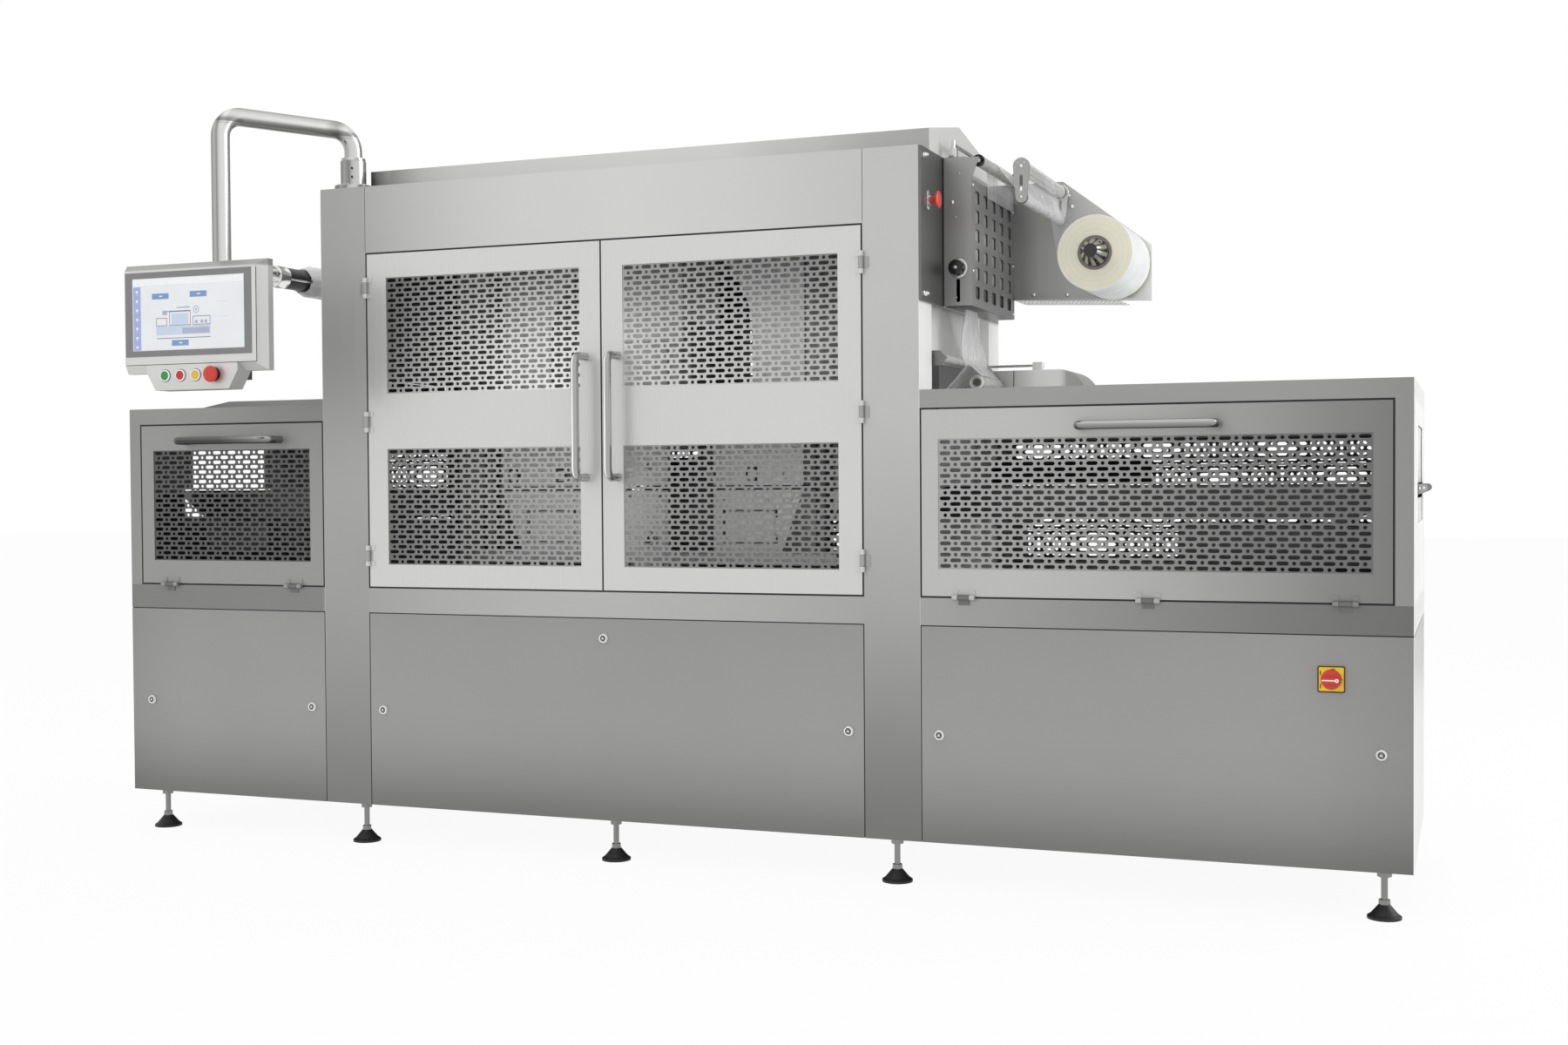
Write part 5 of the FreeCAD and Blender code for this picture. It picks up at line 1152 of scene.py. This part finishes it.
def addGatheredWeb(w):  # ribbon between the unit and the lead-in rollers
    lift = w["lift"]
    # (x, z, front y, back y, depth of the folds)
    steps = [(990, 1640, 312, 395, 2.0), (978, 1600, 310, 400, 4.0), (973, 1560, 309, 408, 5.0),
             (969, 1520, 300, 432, 5.5), (966, 1480, 284, 476, 6.0), (963, 1450, 290, 520, 5.0),
             (960, 1425, 305, 556, 3.0)]
    turn = roundPath((946, 1401), 13 + lift, 25, -50, 5)
    steps += [(x, z, 318 + 9 * k, 580 - 3 * k, 0.5) for k, (x, z) in enumerate(turn)]
    steps += [(940, 1372, 358, 548, 2.5), (925, 1352, 350, 530, 4.0), (908, 1330, 336, 506, 5.0),
              (893, 1312, 330, 500, 5.0)]
    rows = []
    across = 26
    for n, (x, z, ya, yb, fold) in enumerate(steps):
        rows.append([(x + fold * math.sin(2.1 * k + 0.35 * n) * (1.0 if 0 < k < across else 0.4),
                      ya + (yb - ya) * (k + 0.45 * math.sin(1.3 * k + n)) / across, z) for k in range(across + 1)])
    mesh = bmesh.new()
    addSheet(mesh, rows, 0, w["thick"])
    side = roundPath((985, 1346), 20 + lift, 60, 250, 9)
    addSheet(mesh, bowed([(962, 1395)] + between((962, 1395), side[0], 3) + side, 380, 585, 1.0, 10), 0, w["thick"])
    finishPiece("gatheredWeb", mesh, ["wornFilm"], "frame", smooth=70)


def addRollerEnds(w):
    topAxis, lowAxis, highAxis = w["topAxis"], w["lowAxis"], w["highAxis"]
    mesh = bmesh.new()                                    # bright end ring of the nip roller, dark ends of the others
    addTurned(mesh, [(20.4, 0), (20.4, 9), (16, 9), (16, 0)], (985, 367, 1346), toBack, 0, 36, True)
    addTurned(mesh, oblong(0, 11, 0, 3), (985, 368, 1346), toBack, 1, 24)
    for front in (207, 660):
        addTurned(mesh, oblong(6.5, 16.2, 6, 14), (topAxis[0], front, topAxis[1]), toBack, 2, 32, True)
    finishPiece("rollerEnds", mesh, ["chrome", "darkSteel", "blackPlastic"], "frame")
    mesh = bmesh.new()
    for axis, radius in ((highAxis, 17.6), (lowAxis, 15.1)):
        addTurned(mesh, oblong(7, radius, 0.2, 9), (axis[0], 195, axis[1]), toBack, 0, 32, True)
        addTurned(mesh, oblong(radius - 3, radius + 0.4, 0, 5),
                  (axis[0], 664, axis[1]), toBack, 0, 32, True)
    for z, r in ((1908, 5.0), (1826, 4.0)):
        addDomeScrew(mesh, (1157, 187, z), toFront, 2 * r, 1)
    for x, z in ((1148, 1917), (1166, 1917)):
        addDomeScrew(mesh, (x, 187, z), toFront, 4.5, 1)
    addPlate(mesh, roundedBox(1154.4, 1159.6, 1856, 1882, 2.5), 188.5, 194.5, finish=2)   # shadow in the slot
    addPlate(mesh, roundedBox(1154, 1160, 1841, 1853, 2.8), 186.6, 188, finish=1)
    finishPiece("dancerFittings", mesh, ["blackPlastic", "chrome", "darkSteel"], "dancer")


# film roll: cream end with the edges of the winding, bluish side with a faint glow that paints light on it; chuck:
# fluted cone, bright flanks with black groove faces as painted shade, black nose
rollSet = {"axis": (1314, 1693), "front": 385.0, "back": 665.0, "outer": 103.5, "inner": 42.0, "layers": 22,
           "teeth": 10, "nose": 326.0, "rim": 374.0}


def addFilmRoll(f):
    (x, z), y0, y1, outer, inner = f["axis"], f["front"], f["back"], f["outer"], f["inner"]
    profile, step = [], (outer - 1.2 - inner) / f["layers"]
    for k in range(f["layers"]):                          # every second layer stands 0.25 mm back
        r, y = inner + (outer - 1.2 - inner) * k / f["layers"], y0 + 0.25 * (k % 2)
        profile += [(r, y, 1 + (k % 5 == 3)), (r + step * 0.96, y, 1)]
    profile += [(outer - 0.8, y0, 0), (outer, y0 + 0.8, 0), (outer, y1 - 0.8, 0), (outer - 0.8, y1, 1),
                (inner, y1, 1)]
    mesh = bmesh.new()
    addTurned(mesh, profile, (x, 0, z), toBack, 0, 96, True)
    addTurned(mesh, [(38.8, y0 - 1.5), (46.5, y0 - 1.5), (47.5, y0 - 0.8), (47.5, y0 + 0.6), (42.0, y0 + 0.6),
                     (42.0, y1 + 1.5), (38.8, y1 + 1.5)], (x, 0, z), toBack, 3, 64, True)
    finishPiece("filmRollWound", mesh, ["glowingFilmRoll", "creamCore", "creamDark", "coreTube"], "film_roll",
                standsFor=["film_roll"], smooth=30)


def addChuck(f):
    (x, z), nose, rim, count = f["axis"], f["nose"], f["rim"], f["teeth"] * 6
    mesh = bmesh.new()
    rings = []
    for y, r, cut in ((nose, 17.0, 0.0), (nose + 3, 19.0, 0.5), (350, 29.0, 3.2), (rim - 3, 36.5, 4.2),
                      (rim, 38.0, 4.4), (rim + 8, 38.0, 4.4)):
        ring = [circlePoint(x, z, r - (cut if k % 6 in (0, 1) else 0.0), 2 * math.pi * k / count)
                for k in range(count)]
        rings.append([mesh.verts.new(at(a, y, b)) for a, b in ring])
    for low, high in zip(rings, rings[1:]):
        faces = []
        loopFaces(mesh, low, high, faces)
        for k, face in enumerate(faces):
            # the groove floor and one wall black: painted shade in the flutes
            face.material_index = 1 if k % 6 in (0, 5) else 0
    for ring in (rings[0][::-1], rings[-1]):
        mesh.faces.new(ring).material_index = 1
    addTurned(mesh, [(0, 0), (17.5, 0), (18.5, 1.2), (18.5, 4), (0, 4)], (x, nose - 0.9, z), toBack, 1, 40)
    addTurned(mesh, [(0, 0), (38.0, 0), (38.0, 232), (22, 250), (14, 262), (14, 302), (0, 302)],
              (x, rim + 8.5, z), toBack, 2, 48)
    for k in range(3):
        a, b = circlePoint(x, z, 31, math.radians(120 * k + 50))
        addTurned(mesh, oblong(0, 2.6, 0, 3), (a, 352.5, b), toBack, 1, 14)
    finishPiece("rollChuckFluted", mesh, ["chuckSteel", "blackPlastic", "darkSteel"], "film_roll", smooth=25,
                standsFor=["roll_chuck"])


# rewinder: bright mouth, black drum segments between three bars, film wound on behind
rewinderSet = {"axis": (-1252, 1730), "front": 200, "segmentOuter": 33.6, "segmentInner": 27, "woundSteps": 60,
               "woundTurns": 1.96}


def addRewinderDrum(w):
    (x, z), y = w["axis"], w["front"]
    mesh = bmesh.new()
    addTurned(mesh, [(31.0, 0), (34.5, 0), (34.9, 1.2), (34.9, 4), (34.5, 5), (34.5, 51), (33.6, 52), (24, 52),
                     (24, 43), (31.0, 43)], (x, y, z), toBack, 0, 56, True)
    addTurned(mesh, [(0, 41.6), (31.2, 41.6), (31.2, 43.4), (11, 43.4), (11, 462.7), (0, 462.7)], (x, y, z), toBack,
              0, 40)
    addTurned(mesh, oblong(11.2, 42.4, 435, 443), (x, y, z), toBack, 0, 56, True)
    for turn in (-12, 108, 228):                          # a bar, and the segment that follows it
        angles = [math.radians(turn + 9 + 3 * n) for n in range(35)]
        outer = [circlePoint(x, z, w["segmentOuter"], a) for a in angles]
        inner = [circlePoint(x, z, w["segmentInner"], a) for a in angles[::-1]]
        addPlate(mesh, outer + inner, 252.4, 634.6, finish=1)
        barX, barZ = circlePoint(x, z, 30, math.radians(turn))
        addTurned(mesh, oblong(0, 4.2, 0, 383), (barX, 252, barZ), toBack, 0, 16)
    addTurned(mesh, [(0, 0), (7, 0), (7, 2), (5.4, 2.6), (5.4, 1), (0, 1)], (x, 241.7, z), toFront, 0, 20)
    for k in range(4):
        screwX, screwZ = circlePoint(x, z, 18, math.radians(90 * k + 45))
        addDomeScrew(mesh, (screwX, 241.7, screwZ), toFront, 5.0)
    finishPiece("rewinderDrum", mesh, ["chrome", "blackPlastic"], "rewinder", standsFor=["rewind_mandrel"])


def addWoundWaste(w):
    (x, z), steps = w["axis"], w["woundSteps"]
    mesh = bmesh.new()
    rows = []
    for k in range(steps + 1):
        a = 2 * math.pi * k / steps * w["woundTurns"]
        r = 45.0 + 5.5 * k / steps + 0.9 * math.sin(6.3 * k / 7)
        rows.append([])
        for y, wave in ((352, -9), (366, -5), (389, 1.0), (430, 0), (500, 1.2), (580, 0), (646, 0.8)):
            edgeWave = 6 * math.sin(0.5 * k) if y < 380 else 0   # the loose front edge of the film
            rows[-1].append((x + (r + wave) * math.cos(a), y + edgeWave, z + (r + wave) * math.sin(a)))
    addSheet(mesh, rows, 0, 0.8)
    addTurned(mesh, [(34.6, 390), (43.0, 389.5), (43.0, 632), (34.6, 632)], (x, 0, z), toBack, 1, 64, True)
    finishPiece("woundWaste", mesh, ["wornFilm", "wasteFilm"], "rewinder", smooth=50, standsFor=["waste_film"])


addRollerWebs(webSet)
addGatheredWeb(webSet)
addRollerEnds(webSet)
addFilmRoll(rollSet)
addChuck(rollSet)
addRewinderDrum(rewinderSet)
addWoundWaste(rewinderSet)
print("film webs, roll and rewinder made")

# behind the doors: grooves and ports in the tools drawn as black strips and rings (painted shade of the recesses),
# dark blocks in the gaps between the tools (painted shade), and bolts
toolSet = {"front": 300.0, "left": -490.0, "right": 211.0, "groove": 7.0}


def addToolParts(t):
    mesh = bmesh.new()
    y, g = t["front"], t["groove"]
    for x in (t["left"], t["right"]):
        left, right, low, high = x + 88 - 58 * (x > 0), x + 250 - 50 * (x > 0), 893, 994
        for x0, x1, z0, z1 in ((left, right, high - g, high), (left, right, low, low + g),
                               (left, left + g, low, high), (right - g, right, low, low + 26),
                               (right - g, right, high - 26, high)):
            addBlock(mesh, (x0, y - 0.9, z0), (x1, y + 0.4, z1), 0, 0.3)
        for port in (22, 184) if x < 0 else (-28, 102):
            addPlate(mesh, roundedBox(x + port, x + port + 36, 1070, 1117, 3), y - 1.0, y + 0.4, finish=0)
            addPlate(mesh, roundedBox(x + port + 7, x + port + 29, 1078, 1109, 3), y - 1.6, y - 0.4, finish=1)
        addBlock(mesh, (x + 2, y + 1.5, 1048), (x + 277, y + 318, 1062), 0, 0.5)       # dark block between the tools: painted shade of the gap
        for k in range(4):                                # bolts along the upper tool
            addDomeScrew(mesh, (x + 24 + 77 * k, y, 1165), toFront, 12.0, 1)
            addDomeScrew(mesh, (x + 34 + 70 * k, y, 1022), toFront, 9.0, 1)
    for x0, x1 in ((-211, -72), (72, 211)):               # tray level: dark rail across the middle, painted shade of the gap
        addBlock(mesh, (x0, 318, 1049), (x1, 330, 1060), 0, 0.5)
    for x, z, r in ((9, 904, 25), (9, 1120, 12), (-50, 1030, 6), (50, 1030, 6), (-50, 830, 6), (50, 830, 6)):
        addTurned(mesh, [(r * 0.55, 0), (r, 0), (r, 2.2), (r * 0.9, 3), (r * 0.55, 3)], (x, 279.4, z), toFront, 1, 32,
                  True)
        addTurned(mesh, oblong(0, r * 0.5, 0, 1.5), (x, 279.6, z), toFront, 0, 24)
    finishPiece("toolFittings", mesh, ["blackPlastic", "turnedSteel"], "frame")


# behind the windows: dark plates that paint the shade inside the press, strip curtains in the tray mouths (the pale
# inlet strips paint the light there), caps of the open rails, linings
curtainSet = {"strips": 13, "shift": 1.6, "outletFrom": 172, "outletPitch": 36.5, "inletFrom": 251,
              "inletPitch": 35.2}


def addCurtains(c):
    mesh = bmesh.new()                                    # dark plates that close the view through the press: painted shade inside it
    addBlock(mesh, (-205, 706, 800), (196, 709, 1150), 0, 0.5)
    addBlock(mesh, (-165, 706, 1300), (165, 709, 1700), 0, 0.5)
    for k in range(c["strips"]):                          # strip curtain in the outlet mouth
        y0, back = c["outletFrom"] + c["outletPitch"] * k, (k % 2) * c["shift"]
        addBlock(mesh, (-907 - back, y0, 1178), (-905.6 - back, y0 + 38, 1392), 1, 0.3)
    finishPiece("pressShadeAndCurtain", mesh, ["darkSteel", "blackRubber"], "frame")

    mesh = bmesh.new()                                    # pale strips over the inlet belt and an apron under it: painted light in the inlet mouth
    for k in range(c["strips"]):
        y0, back = c["inletFrom"] + c["inletPitch"] * k, (k % 2) * c["shift"]
        addBlock(mesh, (2148.2 - back, y0, 1058), (2149.6 - back, y0 + 36.6, 1204), 0, 0.3)
    addBlock(mesh, (2147.4, 246, 950), (2149.6, 714, 1018), 0, 0.5)
    for x, z in ((2157, 1044), (2167, 1045), (-1661, 1045)):
        addDomeScrew(mesh, (x, 266, z), toFront, 8.0, 1)
    finishPiece("inletStrips", mesh, ["ringWhite", "chrome"], "frame")


def addCapsAndLinings():
    mesh = bmesh.new()                                    # folded caps in the open ends of the rails and bands
    for x0, x1 in ((-1647.4, -1644), (2150, 2153.4)):
        for low, high, deep, finish in ((1262, 1310, 40, 0), (692, 764, 60, 1)):
            for y0, y1 in ((0, deep), (840 - deep, 840)):
                addBlock(mesh, (x0, y0 + 0.6, low + 0.6), (x1, y1 - 0.6, high - 0.6), finish, 0.5)
    finishPiece("railCaps", mesh, ["sectionSkin", "frameSkin"], "frame")

    mesh = bmesh.new()                                    # lining inside the outlet's end, shield behind the inlet
    addPlate(mesh, [(60, 766), (800, 766), (800, 850), (380, 850), (345, 945), (250, 945), (250, 1047), (60, 1047)],
             -1644.6, -1643.2, "x", 0)
    addBlock(mesh, (-1644.6, 250, 945), (-1643.2, 722, 966.5), 1, 0.3)
    addBlock(mesh, (928, 758, 1061), (1405, 760, 1133), 0, 0.5)
    for z in (1061, 1131):
        addBlock(mesh, (928, 760, z), (1405, 772, z + 2), 0, 0.5)
    finishPiece("sectionLinings", mesh, ["blackRubber", "sectionSkin"], "frame")


def addCoverPad():  # pale pad on the rail end and the seams of the inlet cover
    mesh = bmesh.new()
    x, y, z = 928 + 170, 700, 1390
    addBlock(mesh, (x - 28.8, y - 14.8, z - 0.2), (x + 0.8, y + 14.8, z + 28.8), 0, 2.0)
    addTube(mesh, [(928, y, z + 19), (980, y, z + 19), (x - 28, y, z + 19)], 7.4, 1, 12)
    for face in (599.2, 800.0):
        addBlock(mesh, (1033, face, 1311), (1035.4, face + 0.8, 1388), 2, 0.2)
    addBlock(mesh, (1033, 600, 1389.6), (1035.4, 800, 1390.4), 2, 0.2)
    finishPiece("coverPad", mesh, ["ringWhite", "turnedSteel", "blackRubber"], "frame")


def addLockCores():  # cores of the quarter-turn locks, front and rear
    mesh = bmesh.new()
    ring = [(8.5, -0.4), (12.2, -0.4), (12.2, 0.8), (11.4, 1.6), (9.4, 1.6), (8.5, 0.6)]
    for x, z in ((-1573, 404), (-978, 404), (-727, 404), (727, 404), (978, 404), (2079, 404), (0, 634)):
        for face, out in ((-5.0, -1), (845.0, 1)):
            addTurned(mesh, ring, (x, face, z), (0, out, 0), 0, 32, True)
            addTurned(mesh, oblong(0, 8.3, -0.4, 0.3), (x, face, z), (0, out, 0), 1, 28)
            points = [circlePoint(x, z, 5.6, math.radians(90 + 120 * k)) for k in range(3)]
            addPlate(mesh, points, face + min(0, out * 1.3), face + max(0, out * 1.3), finish=2)
    finishPiece("lockCores", mesh, ["chrome", "darkSteel", "turnedSteel"], "frame")


def addCollarFittings():  # arm collar: base ring, its screws and three set screws
    mesh = bmesh.new()
    addTurned(mesh, [(41.5, 0), (55.3, 0), (55.3, 12), (53.5, 14), (41.5, 14)], (-850, 58, 1950), toTop, 0, 56, True)
    for k in range(6):
        addDomeScrew(mesh, (*circlePoint(-850, 58, 48.5, math.radians(60 * k - 75)), 1964), toTop, 6.5)
    for z, a in ((1986, -62), (2012, -62), (1999, 118)):
        side = Vector((*circlePoint(0, 0, 1, math.radians(a)), 0))
        place = Vector((-850, 58, z)) + side * 40.2
        addTurned(mesh, oblong(0, 3.4, 0, 1.4), place, side, 1, 16)
    finishPiece("collarFittings", mesh, ["turnedSteel", "blackRubber"], "frame")


def addHoodCorner():  # sheet that squares the front left corner of the hood
    mesh = bmesh.new()
    x0, y0, low, front, rise, leg = -820.0, 104.0, 1950.0, 2012.0, 12.8, 70.5
    bottom = [(x0, y0, low), (x0 + leg, y0, low), (x0, y0 + leg, low)]
    top = [(x0, y0, front), (x0 + leg, y0, front), (x0, y0 + leg, front + rise)]
    low, high = [[mesh.verts.new(at(*p)) for p in row] for row in (bottom, top)]
    mesh.faces.new(low[::-1])
    mesh.faces.new(high)
    loopFaces(mesh, low, high, [])
    bevelEdges(mesh, mesh.edges, 1.2, 0)
    finishPiece("hoodCorner", mesh, ["hoodSkin"], "frame")


addToolParts(toolSet)
addCurtains(curtainSet)
addCapsAndLinings()
addCoverPad()
addLockCores()
addCollarFittings()
addHoodCorner()
print("press and cover parts made")
